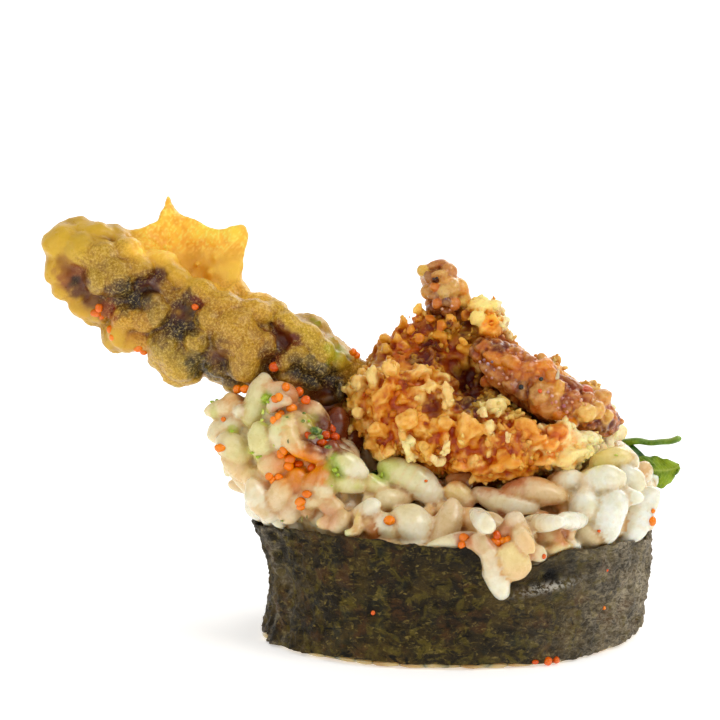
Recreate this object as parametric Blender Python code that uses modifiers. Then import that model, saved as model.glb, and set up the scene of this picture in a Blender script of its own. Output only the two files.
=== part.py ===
"""Soft shell crab maki: the end piece of a thick roll, stood on its cut face.

A strip of nori is wrapped round a bed of rice. Fried soft shell crab runs up
through the middle and swells into a craggy mound on top, one long battered leg
leaves it to the left over a hump of rice, a short leg tip stands on the crown,
a second leg lies over the right shoulder, and leaf shows between rice and crab.

Metres, +Z up, -Y is the front. Sizes below are in millimetres.
"""

import math
import random

import bmesh
import bpy
from mathutils import Matrix, Vector, noise

MM = 0.001

# ---------------------------------------------------------------- sizes, in mm
ROLL_X = 11.6          # centre of the roll, measured from the middle of the piece
ROLL_R = 24.9          # mean outer radius of the nori
ROLL_OVAL = 0.018      # the roll is this much longer along OVAL_DEG
OVAL_DEG = 15.0
CORNER_DEG = 197.0     # a hand-pressed corner in the roll's outline
CORNER_OUT = 0.7

NORI_T = 0.45
NORI_HIGH = 13.7       # mean height of the strip's top edge
NORI_SLOPE = 1.5       # it stands higher on the left front
NORI_LAP_DEG = 62.0    # where the strip starts, under its own end
NORI_LAP = 24.0        # degrees of overlap
NORI_LAP_IN = 0.95     # how far the under layer sits inside the outer one

GAP = 0.3              # clearance between neighbouring solids
BITE = 0.7             # growth of a piece when it is used to cut its bed

CORE = (13.0, 1.0)     # axis of the crab that runs through the roll
CORE_R = 10.0
CORE_TOP = 24.0

# Lumps are (x, y, z, radius) or (x, y, z, rx, ry, rz).
CRAB_LUMPS = [
    (13.5, 0.5, 25.0, 16.5, 13.5, 8.0),      # broad foot of the mound
    (5.0, -8.0, 29.4, 6.8),                  # left front bulge
    (1.6, -5.5, 26.8, 4.6),
    (5.8, -3.0, 32.0, 6.0),                  # left shoulder
    (9.6, 0.0, 35.2, 5.2),                   # ridge up to the crown
    (11.3, 0.4, 38.0, 3.2),
    (15.9, -0.6, 39.3, 3.1, 2.8, 3.1),       # pale lump beside the crown
    (13.8, -1.5, 35.4, 4.5),
    (17.9, -1.5, 32.6, 4.4),
    (7.2, -1.5, 36.8, 2.9),
    (3.6, -2.6, 35.0, 2.7),
    (22.6, -1.6, 30.0, 4.9),                 # ridge falling to the right
    (27.4, -1.0, 26.2, 5.0),
    (10.5, -11.5, 26.6, 6.6, 5.2, 5.4),      # front crumbs
    (17.0, -12.5, 25.2, 6.2, 4.6, 4.6),
    (23.0, -9.5, 24.6, 6.0, 5.0, 4.4),
    (3.6, -12.0, 26.6, 3.2),
    (8.0, 8.0, 29.0, 8.0),                   # back of the mound
    (19.5, 8.0, 27.5, 7.6),
    (14.0, 6.0, 32.0, 6.4),
    (26.5, 5.5, 25.0, 5.4),
    (2.0, 5.0, 26.5, 5.6),
]

# Spine of the long leg, tip first: x, y, z, radius of the battered outside.
LEG_SPINE = [
    (-35.4, -3.0, 47.7, 3.9),
    (-32.6, -3.0, 46.2, 4.8),
    (-28.4, -3.0, 43.6, 5.4),
    (-23.6, -3.0, 40.6, 5.9),
    (-18.4, -3.5, 38.2, 6.2),
    (-13.0, -3.8, 36.7, 6.1),
    (-8.4, -3.8, 35.4, 5.7),
    (-4.4, -3.2, 33.4, 5.0),
    (-1.0, -1.6, 31.0, 4.4),
    (2.6, 1.0, 28.6, 4.0),
]
LEG_LOBES = [
    (-29.2, -4.5, 38.3, 2.7, 2.4, 2.7),      # drip of batter under the leg
    (-32.4, -4.0, 42.0, 2.4),
    (-35.0, -2.6, 44.6, 2.8, 2.4, 3.0),
    (-35.2, -2.4, 49.3, 3.2, 2.4, 2.9),
    (-31.0, -2.6, 48.4, 3.2, 2.6, 3.2),
    (-27.6, -2.6, 47.2, 2.8, 2.6, 3.0),
    (-16.6, -4.0, 33.9, 3.2, 2.8, 2.4),
    (-21.8, -4.0, 34.4, 3.0, 2.8, 2.9),
    (-6.8, -3.0, 37.6, 3.4, 3.0, 2.9),
]
# The thin sheet of batter that stands up from the leg, as an outline in x, z.
FIN_OUTLINE = [
    (-29.4, 45.0), (-28.8, 50.6), (-26.6, 51.3), (-25.0, 51.8), (-24.3, 53.8),
    (-23.5, 55.2), (-22.7, 53.2), (-21.0, 52.0), (-18.9, 51.1), (-16.4, 51.1),
    (-14.2, 51.6), (-13.7, 49.8), (-14.4, 47.0), (-15.0, 43.0), (-12.8, 41.2),
    (-16.0, 38.0), (-26.0, 41.0),
]
FIN_Y, FIN_T = -1.2, 2.0

TIP_LUMPS = [
    (9.8, 0.0, 44.6, 2.8, 2.4, 2.6),
    (8.4, 0.2, 45.3, 1.4),
    (10.9, -0.1, 42.4, 3.2, 2.6, 2.8),
    (11.5, 0.0, 39.8, 2.4, 2.1, 2.7),
]

# Second leg, lying over the right front of the mound: x, y, z, radius.
SIDE_SPINE = [
    (15.6, -6.2, 36.0, 2.2),
    (18.4, -7.4, 34.2, 2.9),
    (21.9, -8.4, 31.6, 3.2),
    (25.6, -8.2, 29.2, 3.2),
    (28.9, -6.6, 27.8, 2.8),
    (30.8, -4.6, 27.2, 2.1),
]

RICE_LEFT = [                                # hump of rice that overhangs the nori
    (-11.4, -8.5, 24.0, 5.9),
    (-13.2, -8.0, 27.4, 4.6),
    (-15.4, -7.6, 28.5, 3.2, 3.0, 2.2),
    (-14.4, -8.0, 24.9, 3.4, 3.0, 2.4),
    (-9.0, -10.6, 27.8, 4.7),
    (-6.6, -11.6, 26.0, 4.8),
    (-8.2, -10.8, 20.4, 6.0),
    (-6.0, -7.0, 24.5, 6.0),
    (-3.6, -12.6, 21.5, 5.0),
]
RICE_RIGHT = [                               # full right shoulder
    (30.0, -7.4, 19.4, 6.0),
    (33.8, 2.4, 17.6, 4.8),
    (32.2, 3.2, 21.2, 3.9),
    (28.0, -11.0, 18.6, 5.2),
    (31.5, -2.0, 20.5, 4.6),
]
RICE_HANG = (17.0, -23.0, 14.6, 2.4, 2.2, 3.4)   # grains that lean out over the edge

# Edges of the leaf between rice and crab: (x, y, z) at its foot and its top.
LINER_FOOT = [(1.6, -2.6, 0.0), (3.4, -7.0, 0.0), (7.6, -10.8, 0.0)]
LINER_TOP = [(-6.0, -8.6, 27.4), (-1.8, -12.0, 25.3), (3.6, -15.0, 23.5)]
LINER_T = 0.8

# The green leaf at the right, along its middle: x, y, z, width.
BLADE_SPINE = [
    (25.2, 6.6, -2.5, 4.0),
    (25.8, 6.8, 8.0, 4.2),
    (28.4, 7.0, 15.0, 4.0),
    (31.8, 6.8, 19.0, 3.6),
    (34.2, 6.2, 20.0, 3.2),
    (36.2, 5.6, 19.3, 3.6),
    (38.2, 5.0, 19.1, 4.1),
    (39.7, 4.5, 19.4, 2.8),
    (40.6, 4.2, 19.8, 0.9),
]
BLADE_T = 0.55
STALK_SPINE = [
    (28.6, 10.4, 18.5, 0.50),
    (32.2, 9.6, 21.2, 0.50),
    (35.0, 8.8, 22.5, 0.48),
    (37.4, 8.0, 22.3, 0.42),
    (39.6, 7.2, 22.6, 0.42),
    (41.3, 6.6, 23.1, 0.50),
]

# ------------------------------------------------------------------- clean scene
for old in list(bpy.data.objects):
    bpy.data.objects.remove(old, do_unlink=True)

parts = bpy.data.collections.new("soft_shell_crab_maki")
cutters = bpy.data.collections.new("cutters")
bpy.context.scene.collection.children.link(parts)
bpy.context.scene.collection.children.link(cutters)
cutters.hide_render = True


# ----------------------------------------------------------------------- helpers
def material(name, colour, roughness):
    made = bpy.data.materials.new(name)
    made.use_nodes = True
    shader = made.node_tree.nodes["Principled BSDF"]
    shader.inputs["Base Color"].default_value = (*colour, 1.0)
    shader.inputs["Roughness"].default_value = roughness
    shader.inputs["Metallic"].default_value = 0.0
    return made


def link_mesh(name, mesh, collection):
    obj = bpy.data.objects.new(name, mesh)
    collection.objects.link(obj)
    if collection is cutters:
        obj.hide_render = True
        obj.display_type = "WIRE"
    return obj


def applied(obj):
    """Replaces the object's mesh with its evaluated one and drops the modifiers."""
    bpy.context.view_layer.update()
    graph = bpy.context.evaluated_depsgraph_get()
    mesh = bpy.data.meshes.new_from_object(obj.evaluated_get(graph))
    obj.modifiers.clear()
    old = obj.data
    obj.data = mesh
    bpy.data.meshes.remove(old)
    return obj


def apart(theta_deg, centre_deg):
    """Signed angle from centre to theta, in degrees, within -180 to 180."""
    return (theta_deg - centre_deg + 180.0) % 360.0 - 180.0


def bump_at(theta_deg, centre_deg, width_deg):
    return math.exp(-((apart(theta_deg, centre_deg) / width_deg) ** 2))


def plan_radius(theta):
    """Outer radius of the nori, seen from above, at an angle in degrees."""
    t = math.radians(theta)
    r = ROLL_R * (1.0 + ROLL_OVAL * math.cos(2.0 * (t - math.radians(OVAL_DEG))))
    r += CORNER_OUT * bump_at(theta, CORNER_DEG, 11.0)
    r += 0.16 * math.sin(5.0 * t + 1.0) + 0.10 * math.sin(9.0 * t)
    return r


def lap_inset(theta):
    """How far in the strip's under layer lies: full under the lap, easing out after it."""
    d = apart(theta, NORI_LAP_DEG)
    if d < -8.0 or d > NORI_LAP + 22.0:
        return 0.0
    if d < 0.0:
        return NORI_LAP_IN * (1.0 + d / 8.0)
    if d <= NORI_LAP:
        return NORI_LAP_IN
    s = (d - NORI_LAP) / 22.0
    return NORI_LAP_IN * (1.0 - s * s * (3.0 - 2.0 * s))


def nori_top(theta):
    t = math.radians(theta)
    z = NORI_HIGH + NORI_SLOPE * math.cos(t - math.radians(225.0))
    z += 0.7 * bump_at(theta, 238.0, 16.0)
    z -= 3.0 * bump_at(theta, 283.0, 6.5) + 0.9 * bump_at(theta, 294.0, 6.0)
    z += 0.22 * math.sin(7.0 * t + 0.4) + 0.12 * math.sin(13.0 * t + 2.0)
    return z


def nori_foot(theta):
    t = math.radians(theta)
    return 0.55 + 0.25 * math.sin(3.0 * t + 0.5) + 0.10 * math.sin(8.0 * t)


def waist(theta, v):
    """How far the roll is drawn in below its top edge, v from 0 at the foot to 1 at the edge."""
    v = min(max(v, 0.0), 1.0)
    left = 1.15 * (1.0 - v) + 1.6 * math.sin(math.pi * v)
    right = 1.3 * (1.0 - v) ** 2
    back = 0.5 * (1.0 - v) + 0.3 * math.sin(math.pi * v)
    return (left * bump_at(theta, 190.0, 34.0) + right * bump_at(theta, 348.0, 46.0)
            + back * bump_at(theta, 95.0, 30.0))


def on_plan(theta, inset, z):
    r = plan_radius(theta) - inset
    t = math.radians(theta)
    return Vector((ROLL_X + r * math.cos(t), r * math.sin(t), z)) * MM


def grid_mesh(name, columns, rows, place, closed=False):
    """A sheet of columns x rows quads whose points come from place(u, v), u and v from 0 to 1."""
    bm = bmesh.new()
    wide = columns if closed else columns + 1
    grid = [[bm.verts.new(place(i / columns, j / rows)) for i in range(wide)] for j in range(rows + 1)]
    for j in range(rows):
        for i in range(columns):
            k = (i + 1) % wide
            bm.faces.new((grid[j][i], grid[j][k], grid[j + 1][k], grid[j + 1][i]))
    mesh = bpy.data.meshes.new(name)
    bm.to_mesh(mesh)
    bm.free()
    return mesh


def lump_mesh(name, lumps, grow=0.0, tubes=(), boxes=(), outlines=()):
    """Ellipsoids, chains of round sections, boxes and flat outlines in one mesh, ready to be remeshed into one skin."""
    bm = bmesh.new()
    for lump in lumps:
        x, y, z, *r = lump
        rx, ry, rz = (r * 3)[:3] if len(r) == 1 else r
        place = Matrix.Translation(Vector((x, y, z)) * MM) @ Matrix.Diagonal(
            ((rx + grow) * MM, (ry + grow) * MM, (rz + grow) * MM, 1.0)
        )
        bmesh.ops.create_icosphere(bm, subdivisions=3, radius=1.0, matrix=place)
    for spine in tubes:
        for a, b in zip(spine, spine[1:]):
            steps = 5
            for i in range(steps + 1):
                s = i / steps
                x, y, z, r = (p + (q - p) * s for p, q in zip(a, b))
                place = Matrix.Translation(Vector((x, y, z)) * MM) @ Matrix.Scale((r + grow) * MM, 4)
                bmesh.ops.create_icosphere(bm, subdivisions=3, radius=1.0, matrix=place)
    for low, high in boxes:
        low, high = Vector(low) * MM, Vector(high) * MM
        size = high - low
        place = Matrix.Translation((low + high) / 2) @ Matrix.Diagonal((size.x, size.y, size.z, 1.0))
        bmesh.ops.create_cube(bm, size=1.0, matrix=place)
    for outline, y, thick in outlines:
        half = (thick / 2.0 + grow) * MM
        middle = Vector((sum(p[0] for p in outline), sum(p[1] for p in outline))) / len(outline)
        rims = []
        for side in (-half, half):
            rim = []
            for px, pz in outline:
                out = (Vector((px, pz)) - middle).normalized() * grow
                bend = 0.9 * math.sin(0.55 * px + 0.8) + 0.25 * (pz - 44.0) * 0.3
                rim.append(bm.verts.new(Vector(((px + out.x) * MM, (y + bend) * MM + side, (pz + out.y) * MM))))
            rims.append(rim)
        bm.faces.new(rims[0])
        bm.faces.new(list(reversed(rims[1])))
        n = len(outline)
        for i in range(n):
            k = (i + 1) % n
            bm.faces.new((rims[0][k], rims[0][i], rims[1][i], rims[1][k]))
    bmesh.ops.recalc_face_normals(bm, faces=bm.faces)
    mesh = bpy.data.meshes.new(name)
    bm.to_mesh(mesh)
    bm.free()
    return mesh


def skin(obj, voxel, triangles, rough=0.0, scale=0.0, seed=0):
    """One closed skin over the overlapping lumps, made uneven, then thinned to about that many triangles."""
    remesh = obj.modifiers.new("skin", "REMESH")
    remesh.mode = "VOXEL"
    remesh.voxel_size = voxel * MM
    applied(obj)
    smooth = obj.modifiers.new("soften", "SMOOTH")
    smooth.factor = 0.5
    smooth.iterations = 3
    applied(obj)
    if rough:
        mesh = obj.data
        shift = Vector((seed * 3.1, seed * 1.7, seed * 0.9))
        normals = [v.normal.copy() for v in mesh.vertices]
        for v, n in zip(mesh.vertices, normals):
            p = v.co / (scale * MM) + shift
            d = noise.noise(p) + 0.5 * noise.noise(p * 2.1)
            v.co += n * d * rough * MM
    count = sum(len(p.vertices) - 2 for p in obj.data.polygons)
    if count > triangles:
        thin = obj.modifiers.new("thin", "DECIMATE")
        thin.ratio = triangles / count
        applied(obj)
    return obj


def cut(obj, *others):
    for other in others:
        boolean = obj.modifiers.new("cut_" + other.name, "BOOLEAN")
        boolean.operation = "DIFFERENCE"
        boolean.solver = "EXACT"
        boolean.object = other
        applied(obj)
    return obj


def biggest_body(obj):
    """Keeps the largest connected body and drops crumbs that a cut left loose."""
    bm = bmesh.new()
    bm.from_mesh(obj.data)
    bmesh.ops.remove_doubles(bm, verts=bm.verts, dist=0.000002)
    left = set(bm.faces)
    bodies = []
    while left:
        stack = [next(iter(left))]
        left.discard(stack[0])
        body = []
        while stack:
            face = stack.pop()
            body.append(face)
            for edge in face.edges:
                for near in edge.link_faces:
                    if near in left:
                        left.discard(near)
                        stack.append(near)
        bodies.append(body)
    bodies.sort(key=len, reverse=True)
    for body in bodies[1:]:
        bmesh.ops.delete(bm, geom=body, context="FACES")
    loose = [v for v in bm.verts if not v.link_faces]
    bmesh.ops.delete(bm, geom=loose, context="VERTS")
    bm.to_mesh(obj.data)
    bm.free()
    return obj


def finish(obj, paint):
    obj.data.materials.clear()
    obj.data.materials.append(paint)
    obj.data.shade_smooth()
    obj.data.set_sharp_from_angle(angle=math.radians(50.0))
    return obj


# ----------------------------------------------------------------- floor cutter
floor = link_mesh("floor_cutter", lump_mesh("floor_cutter", [], boxes=[((-80, -60, -30), (90, 60, 0))]), cutters)

# ------------------------------------------------------------------------- nori
def nori_point(u, v):
    theta = NORI_LAP_DEG + u * (360.0 + NORI_LAP)
    under = lap_inset(theta) if u < 0.5 else 0.0
    low, high = nori_foot(theta), nori_top(theta)
    wave = 0.10 * math.sin(math.radians(theta) * 11.0 + 5.0 * v)
    return on_plan(theta, NORI_T / 2.0 + under + waist(theta, v) + max(wave, 0.0), low + (high - low) * v)


nori = link_mesh("nori_wrap", grid_mesh("nori_wrap", 68, 5, nori_point), parts)
thick = nori.modifiers.new("thickness", "SOLIDIFY")
thick.thickness = NORI_T * MM
thick.offset = 0.0
applied(nori)

# A ring that holds the space of the nori and all outside it up to the strip's top edge.
def nori_room(u, v):
    theta = u * 360.0
    low, high = nori_foot(theta), nori_top(theta)
    v = min(-0.2 + 1.4 * v, 1.025)
    return on_plan(theta, NORI_T + 0.25 + GAP + lap_inset(theta) + waist(theta, v), low + (high - low) * v)


room = link_mesh("nori_room", grid_mesh("nori_room", 64, 7, nori_room, closed=True), cutters)
wall = room.modifiers.new("wall", "SOLIDIFY")
wall.thickness = 12.0 * MM
wall.offset = 1.0
applied(room)

# ------------------------------------------------------------------------- crab
core = [(CORE[0] + 0.5 * math.sin(i * 1.3), CORE[1] + 0.6 * math.cos(i * 1.9), z, CORE_R)
        for i, z in enumerate(range(-6, int(CORE_TOP) + 1, 5))]
crab = link_mesh("crab_body", lump_mesh("crab_body", CRAB_LUMPS, tubes=[core]), parts)
skin(crab, 0.8, 1500, rough=1.1, scale=3.6, seed=4)
cut(crab, floor)

crab_room = link_mesh("crab_room", crab.data.copy(), cutters)
crab_room.data = lump_mesh("crab_room", CRAB_LUMPS, grow=0.0, tubes=[core])
skin(crab_room, 0.8, 5000, rough=1.1, scale=3.6, seed=4)
swell = crab_room.modifiers.new("swell", "DISPLACE")
swell.strength = BITE * MM
swell.mid_level = 0.0
applied(crab_room)
reskin = crab_room.modifiers.new("reskin", "REMESH")
reskin.mode = "VOXEL"
reskin.voxel_size = 0.8 * MM
applied(crab_room)
thin = crab_room.modifiers.new("thin", "DECIMATE")
thin.ratio = 0.065
applied(crab_room)

# ------------------------------------------------------------------ second leg
side = link_mesh("crab_leg_side", lump_mesh("crab_leg_side", [], tubes=[SIDE_SPINE]), parts)
skin(side, 0.6, 420, rough=0.55, scale=2.2, seed=9)
side_room = link_mesh("side_room", lump_mesh("side_room", [], grow=BITE, tubes=[SIDE_SPINE]), cutters)
skin(side_room, 0.6, 500, rough=0.55, scale=2.2, seed=9)
cut(crab, side_room)
biggest_body(crab)

# ------------------------------------------------------------------- long leg
leg = link_mesh("crab_leg_long",
                lump_mesh("crab_leg_long", LEG_LOBES, tubes=[LEG_SPINE],
                          outlines=[(FIN_OUTLINE, FIN_Y, FIN_T)]), parts)
skin(leg, 0.5, 1500, rough=0.5, scale=3.0, seed=2)
cut(leg, crab_room)
biggest_body(leg)
leg_room = link_mesh("leg_room",
                     lump_mesh("leg_room", LEG_LOBES, grow=BITE, tubes=[LEG_SPINE]), cutters)
skin(leg_room, 0.7, 900, rough=0.5, scale=3.0, seed=2)

# -------------------------------------------------------------------- leg tip
tip = link_mesh("crab_leg_tip", lump_mesh("crab_leg_tip", TIP_LUMPS), parts)
skin(tip, 0.45, 420, rough=0.35, scale=1.6, seed=6)
cut(tip, crab_room)
biggest_body(tip)

# ---------------------------------------------------------------- leaf and stalk
def bezier3(points, u):
    """A point on the quadratic curve through three points."""
    a, b, c = (Vector(p) for p in points)
    control = b * 2.0 - (a + c) * 0.5
    return a * (1 - u) ** 2 + control * 2 * u * (1 - u) + c * u * u


def liner_point(u, v):
    p = bezier3(LINER_FOOT, u).lerp(bezier3(LINER_TOP, u), v)
    p.z = p.z + (0.5 * math.sin(9.0 * u) * v if v > 0.0 else 0.02)
    p.x += 0.35 * math.sin(7.0 * v + 4.0 * u)
    return p * MM


def smooth_at(spine, s):
    """A point on the smooth curve through the spine's own points, with their fourth value, s from 0 to 1."""
    n = len(spine) - 1
    f = min(max(s * n, 0.0), n - 1e-6)
    i = int(f)
    t = f - i
    p = [spine[min(max(i + k, 0), n)] for k in (-1, 0, 1, 2)]
    return [0.5 * (2 * b + (c - a) * t + (2 * a - 5 * b + 4 * c - d) * t * t + (3 * b - a - 3 * c + d) * t ** 3)
            for a, b, c, d in zip(*p)]


def blade_point(grow):
    def place(u, v):
        x, y, z, width = smooth_at(BLADE_SPINE, v)
        width += 2.0 * grow
        across = Vector((-0.15, 0.30, 0.94)).lerp(Vector((0.10, 1.0, -0.20)), max(0.0, 1.0 - 2.2 * v)).normalized()
        cup = Vector((0.35, -0.2, 0.2)) * (1.0 - 4.0 * (u - 0.5) ** 2)
        return (Vector((x, y, z)) + across * (u - 0.5) * width + cup) * MM
    return place


def sheet(name, mesh, thickness, collection):
    obj = link_mesh(name, mesh, collection)
    solid = obj.modifiers.new("thickness", "SOLIDIFY")
    solid.thickness = thickness * MM
    solid.offset = 0.0
    return applied(obj)


liner = sheet("leaf_liner", grid_mesh("leaf_liner", 6, 7, liner_point), LINER_T, parts)
liner_room = sheet("liner_room", grid_mesh(
    "liner_room", 6, 7,
    lambda u, v: liner_point(0.5 + (u - 0.5) * 1.08, v) + Vector((0, 0, (v - 0.5) * 1.2 * MM))),
    LINER_T + 2 * GAP + 0.3, cutters)
cut(liner, floor, crab_room)
biggest_body(liner)

blade = sheet("leaf_blade", grid_mesh("leaf_blade", 4, 16, blade_point(0.0)), BLADE_T, parts)
blade_room = sheet("blade_room", grid_mesh("blade_room", 4, 16, blade_point(0.5)), BLADE_T + 2 * GAP + 0.9, cutters)
cut(blade, floor, crab_room)
biggest_body(blade)


def stalk_curve(name, grow, collection):
    curve = bpy.data.curves.new(name, "CURVE")
    curve.dimensions = "3D"
    curve.bevel_depth = MM
    curve.bevel_resolution = 2
    curve.use_fill_caps = True
    spline = curve.splines.new("POLY")
    count = 14
    spline.points.add(count - 1)
    for i in range(count):
        x, y, z, r = smooth_at(STALK_SPINE, i / (count - 1))
        x += grow * ((i == count - 1) - (i == 0))
        spline.points[i].co = (x * MM, y * MM, z * MM, 1.0)
        spline.points[i].radius = r + grow
    tube = bpy.data.objects.new(name + "_curve", curve)
    collection.objects.link(tube)
    bpy.context.view_layer.update()
    graph = bpy.context.evaluated_depsgraph_get()
    mesh = bpy.data.meshes.new_from_object(tube.evaluated_get(graph))
    bm = bmesh.new()
    bm.from_mesh(mesh)
    bmesh.ops.remove_doubles(bm, verts=bm.verts, dist=0.00001)
    bmesh.ops.recalc_face_normals(bm, faces=bm.faces)
    bm.to_mesh(mesh)
    bm.free()
    bpy.data.objects.remove(tube, do_unlink=True)
    return link_mesh(name, mesh, collection)


stalk = stalk_curve("leaf_stalk", 0.0, parts)
stalk_room = stalk_curve("stalk_room", GAP + 0.2, cutters)
cut(stalk, crab_room)
biggest_body(stalk)

# ------------------------------------------------------------------------- rice
dice = random.Random(21)


def rim_height(theta):
    """How high the rice stands just inside the nori."""
    return (18.6 + 2.2 * math.cos(math.radians(theta - 100.0)) + 1.4 * bump_at(theta, 215.0, 30.0)
            + 0.8 * bump_at(theta, 0.0, 30.0) - 0.8 * bump_at(theta, 290.0, 18.0))


rice_lumps = [RICE_HANG, *RICE_LEFT, *RICE_RIGHT]
for ring, (share, lift, size, number) in enumerate(((0.835, 0.0, 4.3, 26), (0.64, 2.6, 4.9, 18), (0.44, 3.4, 5.4, 11))):
    for i in range(number):
        theta = 360.0 * (i + 0.5 * ring) / number + dice.uniform(-4.0, 4.0)
        r = plan_radius(theta) * share
        top = rim_height(theta) + lift + dice.uniform(-0.7, 0.7)
        radius = size + dice.uniform(-0.5, 0.4)
        t = math.radians(theta)
        rice_lumps.append((ROLL_X + r * math.cos(t), r * math.sin(t), top - radius,
                           radius, radius, radius * dice.uniform(0.85, 1.05)))


def bed_point(u, v):
    theta = u * 360.0
    return on_plan(theta, 0.2, -4.0 + 18.5 * v)


bed = grid_mesh("bed", 72, 1, bed_point, closed=True)
rice_mesh = lump_mesh("rice_bed", rice_lumps)
bm = bmesh.new()
bm.from_mesh(rice_mesh)
bm.from_mesh(bed)
bmesh.ops.holes_fill(bm, edges=[e for e in bm.edges if len(e.link_faces) == 1], sides=0)
bmesh.ops.recalc_face_normals(bm, faces=bm.faces)
bm.to_mesh(rice_mesh)
bm.free()
rice = link_mesh("rice_bed", rice_mesh, parts)
skin(rice, 0.9, 1900, rough=0.7, scale=2.8, seed=5)
cut(rice, room, floor, crab_room, side_room, leg_room, liner_room, blade_room, stalk_room)
biggest_body(rice)

# ---------------------------------------------------------------- finish and place
paints = {
    "nori_wrap": material("nori", (0.045, 0.040, 0.020), 0.55),
    "rice_bed": material("rice", (0.80, 0.74, 0.62), 0.35),
    "crab_body": material("fried_crab", (0.62, 0.30, 0.08), 0.45),
    "crab_leg_side": material("leg_brown", (0.36, 0.13, 0.04), 0.35),
    "crab_leg_long": material("batter", (0.55, 0.38, 0.12), 0.40),
    "crab_leg_tip": material("leg_tan", (0.58, 0.33, 0.16), 0.45),
    "leaf_liner": material("dark_leaf", (0.03, 0.09, 0.02), 0.45),
    "leaf_blade": material("leaf", (0.12, 0.34, 0.01), 0.40),
    "leaf_stalk": material("stalk", (0.16, 0.33, 0.02), 0.40),
}
bpy.context.view_layer.update()
corners = [v.co for name in paints for v in bpy.data.objects[name].data.vertices]
low = Vector([min(c[i] for c in corners) for i in range(3)])
high = Vector([max(c[i] for c in corners) for i in range(3)])
shift = Vector((-(low.x + high.x) / 2.0, -(low.y + high.y) / 2.0, -low.z))

anchor = bpy.data.objects.new("maki", None)
parts.objects.link(anchor)
anchor.location = (0.0, 0.0, 0.0)
for name, paint in paints.items():
    obj = bpy.data.objects[name]
    finish(obj, paint)
    points = [v.co for v in obj.data.vertices]
    middle = sum(points, Vector()) / len(points)
    obj.data.transform(Matrix.Translation(-middle))
    obj.location = middle + shift
    obj.parent = anchor
    print(name, "triangles", sum(len(p.vertices) - 2 for p in obj.data.polygons))
print("shift mm", [round(s / MM, 2) for s in shift], "size mm", [round(s / MM, 1) for s in high - low])
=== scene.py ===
"""Looks of the soft shell crab maki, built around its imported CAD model.

Every length in the helpers below is in millimetres until make() turns it into metres.
A piece of the front is often placed by the pixel of the 720 x 720 picture it is seen at:
spot() casts that pixel's ray onto the CAD solid that carries the piece.
"""

import math

import bmesh
import bpy
import numpy as np
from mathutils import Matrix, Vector
from mathutils.bvhtree import BVHTree
from mathutils.kdtree import KDTree


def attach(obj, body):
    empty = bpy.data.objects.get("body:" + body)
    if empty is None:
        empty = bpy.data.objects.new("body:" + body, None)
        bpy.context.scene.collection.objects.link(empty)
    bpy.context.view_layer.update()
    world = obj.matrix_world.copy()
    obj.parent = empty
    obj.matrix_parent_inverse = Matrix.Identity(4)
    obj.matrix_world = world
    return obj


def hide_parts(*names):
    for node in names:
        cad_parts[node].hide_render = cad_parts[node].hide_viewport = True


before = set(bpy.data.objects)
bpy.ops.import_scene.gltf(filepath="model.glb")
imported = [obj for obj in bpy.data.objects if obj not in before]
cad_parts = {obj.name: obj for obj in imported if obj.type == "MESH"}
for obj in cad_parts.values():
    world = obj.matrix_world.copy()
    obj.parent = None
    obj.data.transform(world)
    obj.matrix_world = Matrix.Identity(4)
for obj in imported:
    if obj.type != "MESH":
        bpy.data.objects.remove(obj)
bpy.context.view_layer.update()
scene = bpy.context.scene
rng = np.random.default_rng(63)

# ------------------------------------------------------------------ camera model
FOCAL = 2782.5                     # picture pixels
TILT = math.radians(7.0)
CE, SE = math.cos(TILT), math.sin(TILT)
EYE = np.array([-1.06, -347.51, 76.85])


def ray(u, v):
    a, b = (u - 360.0) / FOCAL, (360.0 - v) / FOCAL
    d = np.array([a, CE + b * SE, -SE + b * CE])
    return d / np.linalg.norm(d)


def lin(rgb):
    """sRGB 0..255 to linear."""
    c = np.asarray(rgb, float) / 255.0
    return np.where(c <= 0.04045, c / 12.92, ((c + 0.055) / 1.055) ** 2.4)


# ------------------------------------------------------------------------- noise
def hashed(ix, iy, iz, seed):
    h = (ix.astype(np.uint32) * np.uint32(374761393) + iy.astype(np.uint32) * np.uint32(668265263)
         + iz.astype(np.uint32) * np.uint32(3266489917) + np.uint32((seed * 2654435761) & 0xFFFFFFFF))
    h = (h ^ (h >> np.uint32(13))) * np.uint32(1274126177)
    h = (h ^ (h >> np.uint32(15))) * np.uint32(2246822519)
    h ^= h >> np.uint32(16)
    return h.astype(np.float64) / 4294967295.0


def vnoise(p, seed=0):
    """Smooth value noise, -1..1, one cell per unit."""
    base = np.floor(p)
    f = p - base
    f = f * f * f * (f * (f * 6.0 - 15.0) + 10.0)
    i = base.astype(np.int64)
    out = np.zeros(len(p))
    for dx in (0, 1):
        wx = f[:, 0] if dx else 1.0 - f[:, 0]
        for dy in (0, 1):
            wy = f[:, 1] if dy else 1.0 - f[:, 1]
            for dz in (0, 1):
                wz = f[:, 2] if dz else 1.0 - f[:, 2]
                out += wx * wy * wz * hashed(i[:, 0] + dx, i[:, 1] + dy, i[:, 2] + dz, seed)
    return out * 2.0 - 1.0


def fbm(p, octaves=4, seed=0, gain=0.5):
    out, amp, total = np.zeros(len(p)), 1.0, 0.0
    for o in range(octaves):
        out += amp * vnoise(p * (2.03 ** o) + 17.3 * o, seed + o)
        total += amp
        amp *= gain
    return out / total


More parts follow.
